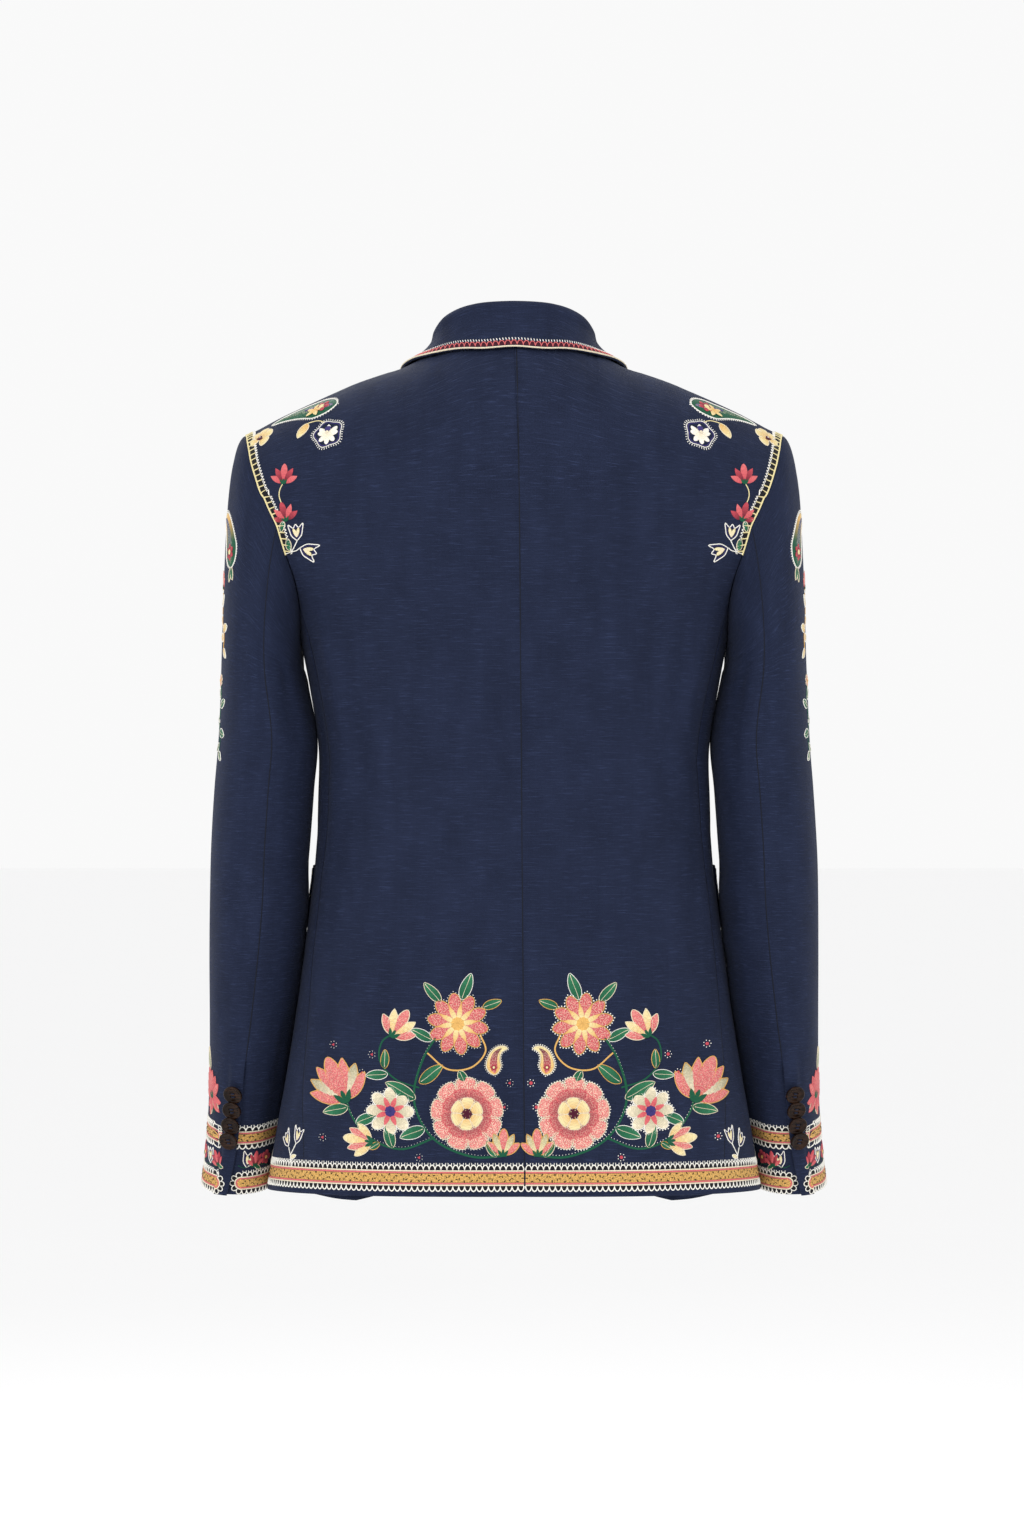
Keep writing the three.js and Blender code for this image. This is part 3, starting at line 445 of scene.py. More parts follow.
def sleeve_skin(side, lap=True):
    """The sleeve's surface for one side, with its folds and, on the top sleeve, the lap over the vent."""
    def skin(turn, v):
        turn, v = np.broadcast_arrays(np.asarray(turn, float), np.asarray(v, float))
        around = np.where(turn % 360 > 340, turn % 360 - 360, turn % 360)
        depth = fold_depth(SLEEVE_FOLDS, side, turn % 360, v, 0.95, 250.0)
        depth = depth * bpy.context.scene.jacket_sizes.creasing * ease(v, 0.02, 0.3)
        ripple = 0.14 * np.sin(around / 8 + 2 * v + side) * np.sin(v * 19 + 0.05 * around)
        depth = depth * (1 - ease(v, 1.86, 1.97)) + ripple * ease(v, 0, 0.2)
        if lap:
            depth = depth + vent_rise(np.where(turn > 180, turn - 360, turn), v)
        return sleeve(turn, v) + depth[..., None] * sleeve_normal(turn, v)
    return skin


def arm_surface(side, lap=True):
    """A sleeve's skin for one side, and its normals."""
    skin = sleeve_skin(side, lap)
    return skin, lambda turn, v: -normal_of(skin, turn, v, 0.4, 0.004)


def neck_level(angle):
    """How high the back neckline cuts the column at an angle."""
    reach = np.minimum(np.abs(body(angle, 1.9)[..., 0]) / NECK_HALF_WIDTH, 1)
    line = SHOULDER_SEAM_Y + NECK_BACK_DEPTH * (1 - reach**NECK_POWER) ** (1 / NECK_POWER)
    out = (line - SHOULDER_SEAM_Y) / (body(angle, 1.0)[..., 1] - SHOULDER_SEAM_Y)
    return 1 + np.arctan2((1 - out**ROLL_POWER) ** (1 / ROLL_POWER), out) / (np.pi / 2)


NECK_Z = float(at(SHOULDER, "z", NECK_HALF_WIDTH))


def roll_x(z):
    """Distance from the centre of the line on which the lapels fold back."""
    return mix(-OVERLAP, NECK_HALF_WIDTH, (z - BREAK_Z) / (NECK_Z - BREAK_Z))


def front_edge(level):
    """How far from the centre a front's edge runs: its table below the break, the roll line above it."""
    level = np.asarray(level, float)
    z = mix(HEM_Z, ROLL_Z, level)
    x = np.full(level.shape, float(roll_x(ROLL_Z)))
    for _ in range(8):
        x = roll_x(body(angle_at(x, np.maximum(level, 1), True), np.maximum(level, 1))[..., 2])
    return np.where(z < BREAK_Z, at(FRONT_EDGE, "x", level), np.where(level <= 1, roll_x(z), x))


def overlap_rise(side, x):
    return OVERLAP_RISE * (1 - ease(x, 22, 48)) if side < 0 else 0 * x


def front_at(side, x, z):
    """The front's surface over a place seen from ahead."""
    low = np.minimum(z, ROLL_Z)
    half, deep = at(BODY, "half", low), at(BODY, "front", low)
    share = np.minimum(np.abs(x) / half, 0.999)
    y = -deep * (1 - share**RING_POWER) ** (1 / RING_POWER) - form("front", x, low)
    up = np.clip((z - ROLL_Z) / (at(SHOULDER, "z", np.abs(x)) - ROLL_Z), 0, 0.9999)
    y = np.where(z > ROLL_Z, mix(SHOULDER_SEAM_Y, y, (1 - up**ROLL_POWER) ** (1 / ROLL_POWER)), y)
    return vec(x, y - overlap_rise(side, x), z)


def shoulder_round(x, y):
    deep = body(np.where(y < SHOULDER_SEAM_Y, angle_at(x, 1.0, True), angle_at(x, 1.0, False)), 1.0)[..., 1]
    return deep - SHOULDER_SEAM_Y, at(SHOULDER, "z", np.abs(x)) - ROLL_Z


def on_shoulder(x, y, over):
    """A place lifted to the shoulders' surface, or to a distance above it."""
    deep, high = shoulder_round(x, y)
    share = np.abs((y - SHOULDER_SEAM_Y) / deep)
    return vec(x, y, ROLL_Z + high * (1 - share**ROLL_POWER) ** (1 / ROLL_POWER) + over)


def clear_of_shoulder(p, margin):
    """A place pushed straight away from the shoulders' core until it clears their surface by a margin."""
    deep, high = shoulder_round(p[..., 0], p[..., 1])
    core = vec(p[..., 0], SHOULDER_SEAM_Y, ROLL_Z)
    out, up = np.abs((p[..., 1] - SHOULDER_SEAM_Y) / deep), np.abs((p[..., 2] - ROLL_Z) / high)
    share = (out**ROLL_POWER + up**ROLL_POWER) ** (1 / ROLL_POWER)
    reach = np.linalg.norm(p - core, axis=-1) / share
    return core + (p - core) * np.maximum((1 + margin / reach) / share, 1)[..., None]


def neck_seam(s):
    """The collar's neck seam: round the back neckline to s = 0.5, then down the front's roll line."""
    near = np.abs(s)
    across, along = rounded(np.minimum(near, 0.5) * np.pi, NECK_POWER)
    half, deep = NECK_HALF_WIDTH - COLLAR_INSET, NECK_BACK_DEPTH - COLLAR_INSET
    behind = on_shoulder(half * across, SHOULDER_SEAM_Y + deep * along, -CLOTH)
    level = mix(2, COLLAR_END_LEVEL, np.maximum(2 * near - 1, 0))
    angle = angle_at(front_edge(level) - COLLAR_INSET, level, True)
    ahead = body(angle, level) - CLOTH * body_normal(angle, np.minimum(level, 1.99))
    return np.where((near < 0.5)[..., None], behind, ahead)


def collar_points(s):
    """Nine places across the collar at each s: up the stand, over the fold and down to the outer edge."""
    stand, bow = at(COLLAR, "stand", s)[:, None], at(COLLAR, "bow", s)[:, None]
    seam_shadow = neck_seam(s)
    edge = clear_of_shoulder(on_shoulder(at(COLLAR, "ex", s), at(COLLAR, "ey", s), 0), COLLAR_CLEAR)
    path = unit(neck_seam(s + 0.01) - neck_seam(np.maximum(s - 0.01, 0)))
    turn = ease(s, 0.6, 1)[:, None]
    up = mix(np.array([0.0, 0, 1]), np.array([0.15, -0.95, 0.3]), turn)
    out = unit(np.cross(up, path))
    up = np.cross(path, out)

    def place(sideways, high):
        return seam_shadow + out * sideways + up * high

    fold = place(5.2, CLOTH + stand - 3.6)
    falls = [clear_of_shoulder(mix(fold, edge, t) - out * 4 * bow * t * (1 - t), COLLAR_CLEAR)
             for t in (0.25, 0.5, 0.75)]
    return np.stack([place(0, 0), place(-0.8, CLOTH + stand * 0.45), place(-1.5, CLOTH + stand - 3.4),
                     place(1.4, CLOTH + stand), fold, *falls, edge], axis=1)


def through(points, r):
    """Centripetal Catmull-Rom curves through rows of points (n, k, 3), each at its own share r from 0 to 1,
    evenly by segment."""
    k = points.shape[1]
    ends = [2 * points[:, :1] - points[:, 1:2], points, 2 * points[:, -1:] - points[:, -2:-1]]
    padded = np.concatenate(ends, axis=1)
    place = np.clip(np.asarray(r, float), 0, 1) * (k - 1)
    i = np.minimum(place.astype(int), k - 2)
    w = (place - i)[:, None]
    row = np.arange(len(points))
    a, b, c, d = (padded[row, i + n] for n in range(4))
    gap = [np.maximum(np.linalg.norm(q - p, axis=-1, keepdims=True), 1e-6) ** 0.5
           for p, q in ((a, b), (b, c), (c, d))]
    t1 = ((b - a) / gap[0] - (c - a) / (gap[0] + gap[1]) + (c - b) / gap[1]) * gap[1]
    t2 = ((c - b) / gap[1] - (d - b) / (gap[1] + gap[2]) + (d - c) / gap[2]) * gap[1]
    between = b * (2 * w**3 - 3 * w**2 + 1) + c * (3 * w**2 - 2 * w**3)
    return between + t1 * (w**3 - 2 * w**2 + w) + t2 * (w**3 - w**2)


def through_all(points, r):
    """The same curves, each at every one of the shares r: a grid of points."""
    n, m = len(points), len(r)
    return through(np.repeat(points, m, axis=0), np.tile(r, n)).reshape(n, m, 3)


def even(s):
    """The distance from the middle, rounded off so that nothing kinks there."""
    return np.minimum(np.sqrt(s * s + 0.0036) - 0.06 * np.exp(-np.abs(s) / 0.12), 1.0)


def collar_surface(s, r):
    """The collar's outer surface on the grid of s from -1 to 1 by r from the neck seam to the outer edge."""
    points = through_all(collar_points(even(s)), r)
    points[..., 0] *= np.where(s < 0, -1.0, 1.0)[:, None]
    return points


# Meshes and shells

def grid_faces(rows, cols, start=0, flip=False):
    """Quads of a grid of vertices numbered row by row."""
    i, j = np.meshgrid(np.arange(rows - 1), np.arange(cols - 1), indexing="ij")
    a = start + i * cols + j
    quads = np.stack([a, a + 1, a + cols + 1, a + cols], axis=-1).reshape(-1, 4)
    return quads[:, ::-1] if flip else quads


def new_mesh(name, points, faces, uv=None, tints=None, flecks=None, material=None, sharp=None):
    """A mesh piece from millimetre points and quad or triangle faces, riding on the jacket's body."""
    mesh = bpy.data.meshes.new(name)
    mesh.from_pydata((points * 0.001).tolist(), [], faces.tolist())
    mesh.polygons.foreach_set("use_smooth", np.ones(len(mesh.polygons), bool))
    corner = np.empty(len(mesh.loops), int)
    mesh.loops.foreach_get("vertex_index", corner)
    if uv is not None:
        mesh.uv_layers.new(name="cloth").uv.foreach_set("vector", uv[corner].astype(np.float32).ravel())
    if tints is not None:
        layer = mesh.color_attributes.new("tint", "FLOAT_COLOR", "POINT")
        rgba = np.column_stack([tints, np.ones(len(tints))]).astype(np.float32)
        layer.data.foreach_set("color", rgba.ravel())
    if flecks is not None:
        layer = mesh.attributes.new("fleck", "FLOAT", "POINT")
        layer.data.foreach_set("value", flecks.astype(np.float32))
    if sharp:
        mesh.set_sharp_from_angle(angle=math.radians(sharp))
    mesh.update()
    piece = bpy.data.objects.new(name, mesh)
    bpy.context.scene.collection.objects.link(piece)
    if material:
        mesh.materials.append(material)
    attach(piece, ROOT)
    return piece


def arc(points, axis=0):
    """Distance along a line's or a grid's points from the first one."""
    step = np.linalg.norm(np.diff(points, axis=axis), axis=-1)
    return np.insert(np.cumsum(step, axis=axis), 0, 0, axis=axis)


def facing_out(points, faces, middle=0.0):
    """The faces, turned round together if the sum of their centres times their areas says they face in."""
    c = points[faces]
    areas = np.cross(c[:, 2] - c[:, 0], c[:, 3] - c[:, 1])
    return faces[:, ::-1] if ((c.mean(axis=1) - middle) * areas).sum() < 0 else faces


def shell(name, points, normals, uv, rounding):
    """A closed cloth wall: the outer grid, the same grid a thickness further in, and a rim between them.
    Within the rounding distance of an edge both turn in on a quarter circle."""
    rows, cols = points.shape[:2]
    along, across = arc(points, 0), arc(points, 1)
    near = np.minimum(np.minimum(along, along[-1:] - along), np.minimum(across, across[:, -1:] - across))
    short = np.clip(1 - near / rounding, 0, 1)
    inset = (rounding * (1 - np.sqrt(1 - short**2)))[..., None]
    outer = points - normals * inset
    inner = points - normals * (mm("cloth") - inset)
    both = np.concatenate([outer.reshape(-1, 3), inner.reshape(-1, 3)])
    n = rows * cols
    index = np.arange(n).reshape(rows, cols)
    rim = np.concatenate([index[0], index[1:, -1], index[-1, -2::-1], index[-2:0:-1, 0]])
    after = np.roll(rim, -1)
    walls = np.stack([rim, rim + n, after + n, after], axis=-1)
    faces = np.concatenate([grid_faces(rows, cols), grid_faces(rows, cols, n, True), walls])
    return new_mesh(name, both, facing_out(both, faces), uv=np.tile(uv.reshape(-1, 2), (2, 1)),
                    material=material_of("navy_linen"), sharp=50)


def grid_normals(points, towards=None):
    """Unit normals of a grid from its neighbours' differences, turned to face away from a place."""
    n = unit(np.cross(np.gradient(points, axis=0), np.gradient(points, axis=1)))
    if towards is not None and ((points - towards) * n).sum() < 0:
        n = -n
    return n


def edged(count, edge=0.004):
    """Shares from 0 to 1, evenly spread, with three closer ones by each end."""
    ends = np.array([0, 0.12, 0.4, 1]) * edge
    return np.concatenate([ends, np.linspace(edge, 1 - edge, count)[1:-1], 1 - ends[::-1]])


def finer(values, times):
    """A list with its steps split into equal smaller ones."""
    values = np.asarray(values, float)
    k = np.linspace(0, len(values) - 1, (len(values) - 1) * times + 1)
    return np.interp(k, np.arange(len(values)), values)


def with_ends(values, share=0.04):
    """A list of levels with two closer ones by each end, for the turned edge."""
    first, last = values[1] - values[0], values[-1] - values[-2]
    head = values[0] + first * np.array([share, 4 * share])
    tail = values[-1] - last * np.array([4 * share, share])
    return np.concatenate([values[:1], head, values[1:-1], tail, values[-1:]])


def cloth_piece(node, side, points, normals, uv, rounding):
    """A panel's wall in the place of its plain solid, mirrored by side. Its longest row and column are
    measured, and nothing uses them."""
    flip = np.array([side, 1, 1])
    piece = shell("cloth_" + node, points * flip, normals * flip, uv, rounding)
    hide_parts(node)
    width, length = float(arc(points, 1)[:, -1].max() / 1000), float(arc(points, 0)[-1].max() / 1000)


def torso_uv(angle, level, anchor):
    """Cloth coordinates in millimetres: the way round from an anchor column, so that the warp runs straight
    up beside it, and the way up the panel."""
    ring = np.linspace(-30, 210, 481)
    way = arc(body(ring, 0.4))
    around = np.interp(angle, ring, way) - np.interp(anchor, ring, way)
    up = np.where(level <= 1, level * HEIGHT, HEIGHT + (level - 1) * 150)
    return vec(around * half_width(level) / half_width(0.4), up)


def pace(surface, angle, height):
    return np.linalg.norm(surface(angle + 0.2, height) - surface(angle - 0.2, height), axis=-1) / 0.4


SEAM_GAP, EDGE_ROUNDING = -0.12, 0.9


def torso_panel(name, side, angle, level, anchor, lift=0.0):
    """One torso panel on a grid of angles and levels, over the skin of its side."""
    skin, normal = torso_surface(side)
    normals = normal(angle, level)
    points = skin(angle, level) + normals * np.asarray(lift)[..., None]
    uv = torso_uv(angle, level, anchor) * np.array([side, 1]) + np.array([anchor * side * 7.3, anchor])
    cloth_piece(name, side, points, normals, uv, mm("seam_groove"))


def make_back(label, side):
    """Half of the back: rows from the hem up the side seam, then round the armhole to the shoulder seam,
    closing up under the neckline; columns from the centre seam outwards."""
    low = finer(LOW_LEVELS, 6)
    level_a, angle_a = armhole(finer([138, 126, 114, 102, 90, 76, 62, 48, 34, 20, 9, 0], 5))
    level = with_ends(np.concatenate([low, level_a]))[:, None]
    angle = with_ends(np.concatenate([at(BACK_SIDE_SEAM, "angle", low), angle_a]))[:, None]
    u = edged(44)[None, :]

    def inner(rows):
        seam_shadow = angle_at(SEAM_DRIFT * (1 - rows / 2) * side, rows, False)
        return seam_shadow + SEAM_GAP / 2 / pace(body, seam_shadow, rows)

    outer = angle - SEAM_GAP / 2 / pace(body, angle, level)
    here = mix(inner(level), outer, u)
    top = neck_level(mix(inner(np.full_like(level, 2.0)), outer, u))
    cut = level - ease(level, 0.95, 2) * (2 - top) - np.where(level > 1.9995, 0.0003, 0)
    torso_panel("back_" + label, side, here, cut, 5.0)


def make_side(label, side):
    """The panel under the arm, between its two seams and cut off above by the armhole."""
    foot = np.concatenate([finer(LOW_LEVELS, 6), finer([0.81, float(armhole(BACK_SIDE_TURN)[0])], 3)[1:]])
    level = with_ends(foot)[:, None]
    u = edged(24)[None, :]
    top_level, top_angle = armhole(mix(BACK_SIDE_TURN, 360 - FRONT_SIDE_TURN, u))
    share = np.maximum((level - FIRST_LEVEL) / (foot[-1] - FIRST_LEVEL), 0)
    here = np.where(share > 0, mix(FIRST_LEVEL, top_level, share), level)
    seams = [at(seam_shadow, "angle", here) for seam_shadow in (BACK_SIDE_SEAM, FRONT_SIDE_SEAM)]
    start = seams[0] + SEAM_GAP / 2 / pace(body, seams[0], here)
    end = seams[1] - SEAM_GAP / 2 / pace(body, seams[1], here)
    edge = np.clip(top_angle, start, end)
    angle = mix(mix(start, end, u), edge, ease(level, FIRST_LEVEL, 0.84))
    torso_panel("side_" + label, side, angle, here, 88.0)


def make_front(label, side):
    """One front: rows as on the back, columns from the side seam and armhole to the edge and roll line."""
    low = finer(LOW_LEVELS, 6)
    share = np.maximum((low - FIRST_LEVEL) / (float(armhole(BACK_SIDE_TURN)[0]) - FIRST_LEVEL), 0)
    low = np.where(share > 0, mix(FIRST_LEVEL, float(armhole(360 - FRONT_SIDE_TURN)[0]), share), low)
    level_a, angle_a = armhole(360 - finer([148, 138, 126, 112, 98, 84, 70, 56, 42, 28, 13, 0], 5))
    level = np.minimum(with_ends(np.concatenate([low, level_a])), 1.9997)[:, None]
    angle = with_ends(np.concatenate([at(FRONT_SIDE_SEAM, "angle", low), angle_a]))[:, None]
    edge = angle_at(front_edge(level), level, True)
    here = mix(angle + SEAM_GAP / 2 / pace(body, angle, level), edge, edged(52)[None, :])
    level = np.broadcast_to(level, here.shape)
    lift = overlap_rise(side, body(here, level)[..., 0])
    torso_panel("front_" + label, side, here, level, 150.0, lift)


def lapel_surface(side, rows, cols):
    """A lapel folded back on its front: at each height of the roll line a profile runs round the roll and
    out over the front; the left one is pressed down where the right front covers it."""
    t = with_ends(np.linspace(0, 1, rows))[:, None]
    foot = -281.0 if side > 0 else BREAK_Z + 2
    z = mix(foot, LAPEL_TOP, t)
    v = (z - BREAK_Z) / (LAPEL_TOP - BREAK_Z)
    hidden = -2 * roll_x(z) + 8.2 if side > 0 else np.full_like(z, -10.0)
    width = LAPEL_WIDTH * (1 - (1 - v) ** 1.5) * (1 - 0.06 * v) + 7
    slope = LAPEL_SLOPE * ease(v, 0.45, 1) * v
    k = np.concatenate([finer([0, 1, 2, 3, 4], 4), finer([4, 5, 6, 7, 8], cols)[1:], [8.6, 8.9, 8.97, 9]])
    flat = np.linspace(0, 1, 6)[1:]
    roll = np.broadcast_to(LAPEL_ROLL, (len(z), 5, 2))
    rise = np.broadcast_to(mix(4.3, LAPEL_OVER + 0.4, np.minimum(flat * 2.4, 1) ** 0.8), (len(z), 5))
    out_k = np.concatenate([roll[..., 0], mix(6, width, flat[None])], axis=1)
    high_k = np.concatenate([roll[..., 1], rise], axis=1)
    curve = through_all(np.stack([out_k, high_k, np.zeros_like(out_k)], axis=-1), k / 9)
    out, high = curve[..., 0], curve[..., 1]
    out = np.where(hidden > 0, np.maximum(out, hidden - 3.6 + 0.5 * k[None]), out)
    high = mix(high, LAPEL_OVER + 0.4, np.clip(hidden + 8, 0, 1))
    here = z - np.maximum(out, 0) * slope
    x = roll_x(z) + out

    def flat_front(a, b):
        return front_at(side, a, b)

    return flat_front(x, here) - normal_of(flat_front, x, here, -0.5, 0.5) * high[..., None], out, here


def make_lapel(label, side):
    points, out, here = lapel_surface(side, 70, 6)
    n = grid_normals(points)
    if n[:, n.shape[1] * 2 // 3, 1].sum() > 0:
        n = -n
    uv = vec(out * side * 0.96 + here * 0.12, here * 0.99)
    cloth_piece("lapel_" + label, side, points, n, uv, EDGE_ROUNDING)


def make_collar():
    """The collar from one front end round the back to the other, with a faint roll along its fall."""
    s = with_ends(np.linspace(1, -1, 150), 0.08)
    r = np.concatenate([[0, 0.004, 0.012], np.linspace(0, 1, 46)[1:-1], [0.99, 0.997, 1]])
    points = collar_surface(s, r)
    n = grid_normals(points)
    if n[len(n) // 2, -4, 1] < 0:
        n = -n
    uv = np.stack([arc(points, 0)[:, -1:] * np.ones(len(r)), arc(points, 1)], axis=-1)
    cloth_piece("collar", 1, points, n, uv, EDGE_ROUNDING)


def sleeve_panel(name, side, turn, v, lap):
    skin = sleeve_skin(side, lap)
    uv = vec(turn * 0.93 * side, np.where(v < 1, (1 - v) * 120, (1 - v) * 390))
    n = -normal_of(skin, turn, v, 0.4, down_step(v))
    cloth_piece(name, side, skin(turn, v), n, uv, mm("seam_groove"))


def make_sleeve(label, side):
    """Top and under sleeve: rows down from the armhole, columns between the front and the back seam, with
    the under sleeve carried on under the vent."""
    rows = with_ends(np.concatenate([np.linspace(0, 1, 40)[:-1], np.linspace(1, 2, 90)]))[:, None]
    seam_shadow = seam_turn(rows)
    half = SEAM_GAP / 2 / pace(sleeve, seam_shadow, rows)
    front_half = SEAM_GAP / 2 / pace(sleeve, FRONT_SLEEVE_TURN + 0 * rows, rows)
    top = mix(FRONT_SLEEVE_TURN + front_half - 360, seam_shadow - half, edged(60)[None, :])
    lap = VENT_UNDERLAP * ease(-sleeve_z(rows), -VENT_TOP + 13, -VENT_TOP + 20)
    under = mix(seam_shadow + half - lap, FRONT_SLEEVE_TURN - front_half, edged(36)[None, :])
    rows_t, rows_u = (np.broadcast_to(rows, grid.shape) for grid in (top, under))
    sleeve_panel("top_sleeve_" + label, side, top, rows_t, True)
    sleeve_panel("under_sleeve_" + label, side, under, rows_u, False)


def flap_surface(side, u, v):
    """A pocket flap over the side: the torso's surface moved out, with rounded lower corners and its lower
    edge standing off."""
    corner = 8 * np.maximum(np.abs(2 * u - 1) - 0.8, 0) ** 2 / 0.04
    z = mix(FLAP_TOP, FLAP_BOTTOM + corner, v)
    angle = mix(FLAP_BACK, FLAP_FRONT, u)
    level = (z - HEM_Z) / HEIGHT
    depth = CLOTH + LAY_GAP + FLAP_FLARE * v * v + 0.35 * np.sin(u * 17 + side) * v
    skin = torso_skin(side)
    return skin(angle, level) + skin_normal(skin, angle, level) * np.asarray(depth)[..., None]


def make_flap(label, side):
    u, v = np.meshgrid(edged(60, 0.01), edged(26, 0.02))
    points = flap_surface(side, u, v)
    n = grid_normals(points, np.array([0, 0, -420.0]))
    cloth_piece("pocket_flap_" + label, side, points, n, vec(u * 110 * side, -v * 50), EDGE_ROUNDING)


# Materials

def new_group(name, inputs, outputs):
    group = bpy.data.node_groups.new(name, "ShaderNodeTree")
    for label, kind, value in inputs:
        socket = group.interface.new_socket(name=label, in_out="INPUT", socket_type=kind)
        if value is not None:
            socket.default_value = value
    for label, kind in outputs:
        group.interface.new_socket(name=label, in_out="OUTPUT", socket_type=kind)
    return group, group.nodes.new("NodeGroupInput"), group.nodes.new("NodeGroupOutput")


class Nodes:
    """Short ways to place and join nodes in one tree."""

    def __init__(self, tree):
        self.tree = tree

    def put(self, socket, value):
        if isinstance(value, bpy.types.NodeSocket):
            self.tree.links.new(value, socket)
        else:
            socket.default_value = value

    def math(self, operation, *values, clamp=False):
        node = self.tree.nodes.new("ShaderNodeMath")
        node.operation, node.use_clamp = operation, clamp
        for socket, value in zip(node.inputs, values):
            self.put(socket, value)
        return node.outputs[0]

    def plus(self, a, b, clamp=False):
        return self.math("ADD", a, b, clamp=clamp)

    def minus(self, a, b, clamp=False):
        return self.math("SUBTRACT", a, b, clamp=clamp)

    def times(self, a, b):
        return self.math("MULTIPLY", a, b)

    def stretch(self, vector, scale):
        node = self.tree.nodes.new("ShaderNodeVectorMath")
        node.operation = "MULTIPLY"
        self.put(node.inputs[0], vector)
        self.put(node.inputs[1], scale)
        return node.outputs[0]

    def split(self, vector):
        node = self.tree.nodes.new("ShaderNodeSeparateXYZ")
        self.put(node.inputs[0], vector)
        return node.outputs

    def noise(self, vector, scale, detail=2.0, rough=0.5):
        """Noise whose detail is that many waves to a unit along each axis."""
        place = self.stretch(vector, scale)
        node = self.tree.nodes.new("ShaderNodeTexNoise")
        self.put(node.inputs["Vector"], place)
        self.put(node.inputs["Scale"], 1.0)
        self.put(node.inputs["Detail"], detail)
        self.put(node.inputs["Roughness"], rough)
        return node.outputs["Fac"]

    def ramp(self, value, low, high):
        node = self.tree.nodes.new("ShaderNodeMapRange")
        node.interpolation_type = "SMOOTHSTEP"
        self.put(node.inputs["Value"], value)
        self.put(node.inputs["From Min"], low)
        self.put(node.inputs["From Max"], high)
        return node.outputs["Result"]

    def blend(self, share, a, b, kind="MIX"):
        node = self.tree.nodes.new("ShaderNodeMix")
        node.data_type, node.blend_type = "RGBA", kind
        self.put(node.inputs["Factor"], share)
        self.put(node.inputs["A"], a)
        self.put(node.inputs["B"], b)
        return node.outputs["Result"]

    def bump(self, height, strength, distance):
        node = self.tree.nodes.new("ShaderNodeBump")
        self.put(node.inputs["Height"], height)
        node.inputs["Strength"].default_value = strength
        node.inputs["Distance"].default_value = distance
        return node.outputs["Normal"]

    def group(self, group, **values):
        node = self.tree.nodes.new("ShaderNodeGroup")
        node.node_tree = group
        for key, value in values.items():
            self.put(node.inputs[key.replace("_", " ")], value)
        return node.outputs


def slubbed_weave():
    """Node group for slubbed plain weave on millimetre cloth coordinates: rows of weft with long thick
    places, fainter warp, and the over-and-under of the threads as a height."""
    group, source, sink = new_group("slubbed_weave", [
        ("Cloth", "NodeSocketVector", None), ("Pitch", "NodeSocketFloat", 0.8),
        ("Slub", "NodeSocketFloat", 0.55),
    ], [("Pale", "NodeSocketFloat"), ("Shade", "NodeSocketFloat"), ("Height", "NodeSocketFloat")])
    n = Nodes(group)
    cloth, pitch, slub = source.outputs[:3]
    wander = n.times(n.minus(n.noise(cloth, (0.02, 0.05, 1)), 0.5), 3.0)
    parts = n.split(cloth)
    weft = n.math("DIVIDE", n.plus(parts[1], wander), pitch)
    warp = n.math("DIVIDE", n.plus(parts[0], n.times(wander, 0.6)), pitch)
    wave_v, wave_u = (n.math("SINE", n.times(rows, math.pi)) for rows in (weft, warp))
    over = n.times(wave_u, wave_v)
    thread = n.noise(cloth, (0.035, 1.9, 1), 3.0, 0.6)
    thick = n.noise(cloth, (0.07, 1.1, 1))
    short = n.noise(cloth, (0.22, 1.4, 1), 2.0, 0.6)
    long_slub, short_slub = n.ramp(thick, 0.54, 0.7), n.ramp(short, 0.58, 0.74)
    up_thread = n.noise(cloth, (1.5, 0.02, 1), 3.0, 0.6)
    streak = n.noise(cloth, (0.045, 0.02, 1))
    grain = n.noise(cloth, (1.1, 1.1, 1), 2.0, 0.7)
    strong = n.times(n.math("MAXIMUM", long_slub, n.times(short_slub, 0.8)), slub)
    fine = n.plus(n.times(thread, 0.6), n.times(up_thread, 0.18))
    pale = n.plus(n.times(strong, 0.7), n.times(n.ramp(fine, 0.3, 0.55), 0.42), clamp=True)
    shade = n.plus(n.times(n.minus(streak, 0.5), 0.4), n.times(n.minus(grain, 0.5), 0.7))
    height = n.plus(n.times(over, 0.35), n.plus(n.times(strong, 1.3), n.times(fine, 0.9)))
    for socket, value in zip(sink.inputs, (pale, shade, height)):
        n.put(socket, value)
    return group


def satin():
    """Node group for satin stitches on millimetre ribbon coordinates: threads lie across the ribbon, each
    with its own random tone, a painted highlight along its crown and painted shade in the gaps between
    threads, and a fleck mask for fillings worked in two colours."""
    group, source, sink = new_group("satin_stitch", [
        ("Ribbon", "NodeSocketVector", None), ("Pitch", "NodeSocketFloat", 0.55),
    ], [("Thread", "NodeSocketFloat"), ("Shade", "NodeSocketFloat"), ("Fleck", "NodeSocketFloat")])
    n = Nodes(group)
    ribbon, pitch = source.outputs[:2]
    parts = n.split(ribbon)
    sway = n.times(n.noise(ribbon, (0.4, 0.8, 1)), 0.5)
    row = n.math("DIVIDE", n.plus(parts[0], sway), pitch)
    ridge = n.math("ABSOLUTE", n.math("SINE", n.times(row, math.pi)))
    own = n.noise(ribbon, (1.7, 0.25, 1), 1.0)
    # Shade: a painted highlight on each thread's crown and painted shade in the gaps between threads, from
    # the ridge, plus each thread's own random tone from the noise
    shade = n.plus(n.times(n.minus(ridge, 0.6), 0.42), n.times(n.minus(own, 0.5), 0.9))
    fleck = n.ramp(n.noise(ribbon, (0.9, 1.3, 1), 2.0, 0.7), 0.47, 0.6)
    for socket, value in zip(sink.inputs, (ridge, shade, fleck)):
        n.put(socket, value)
    return group


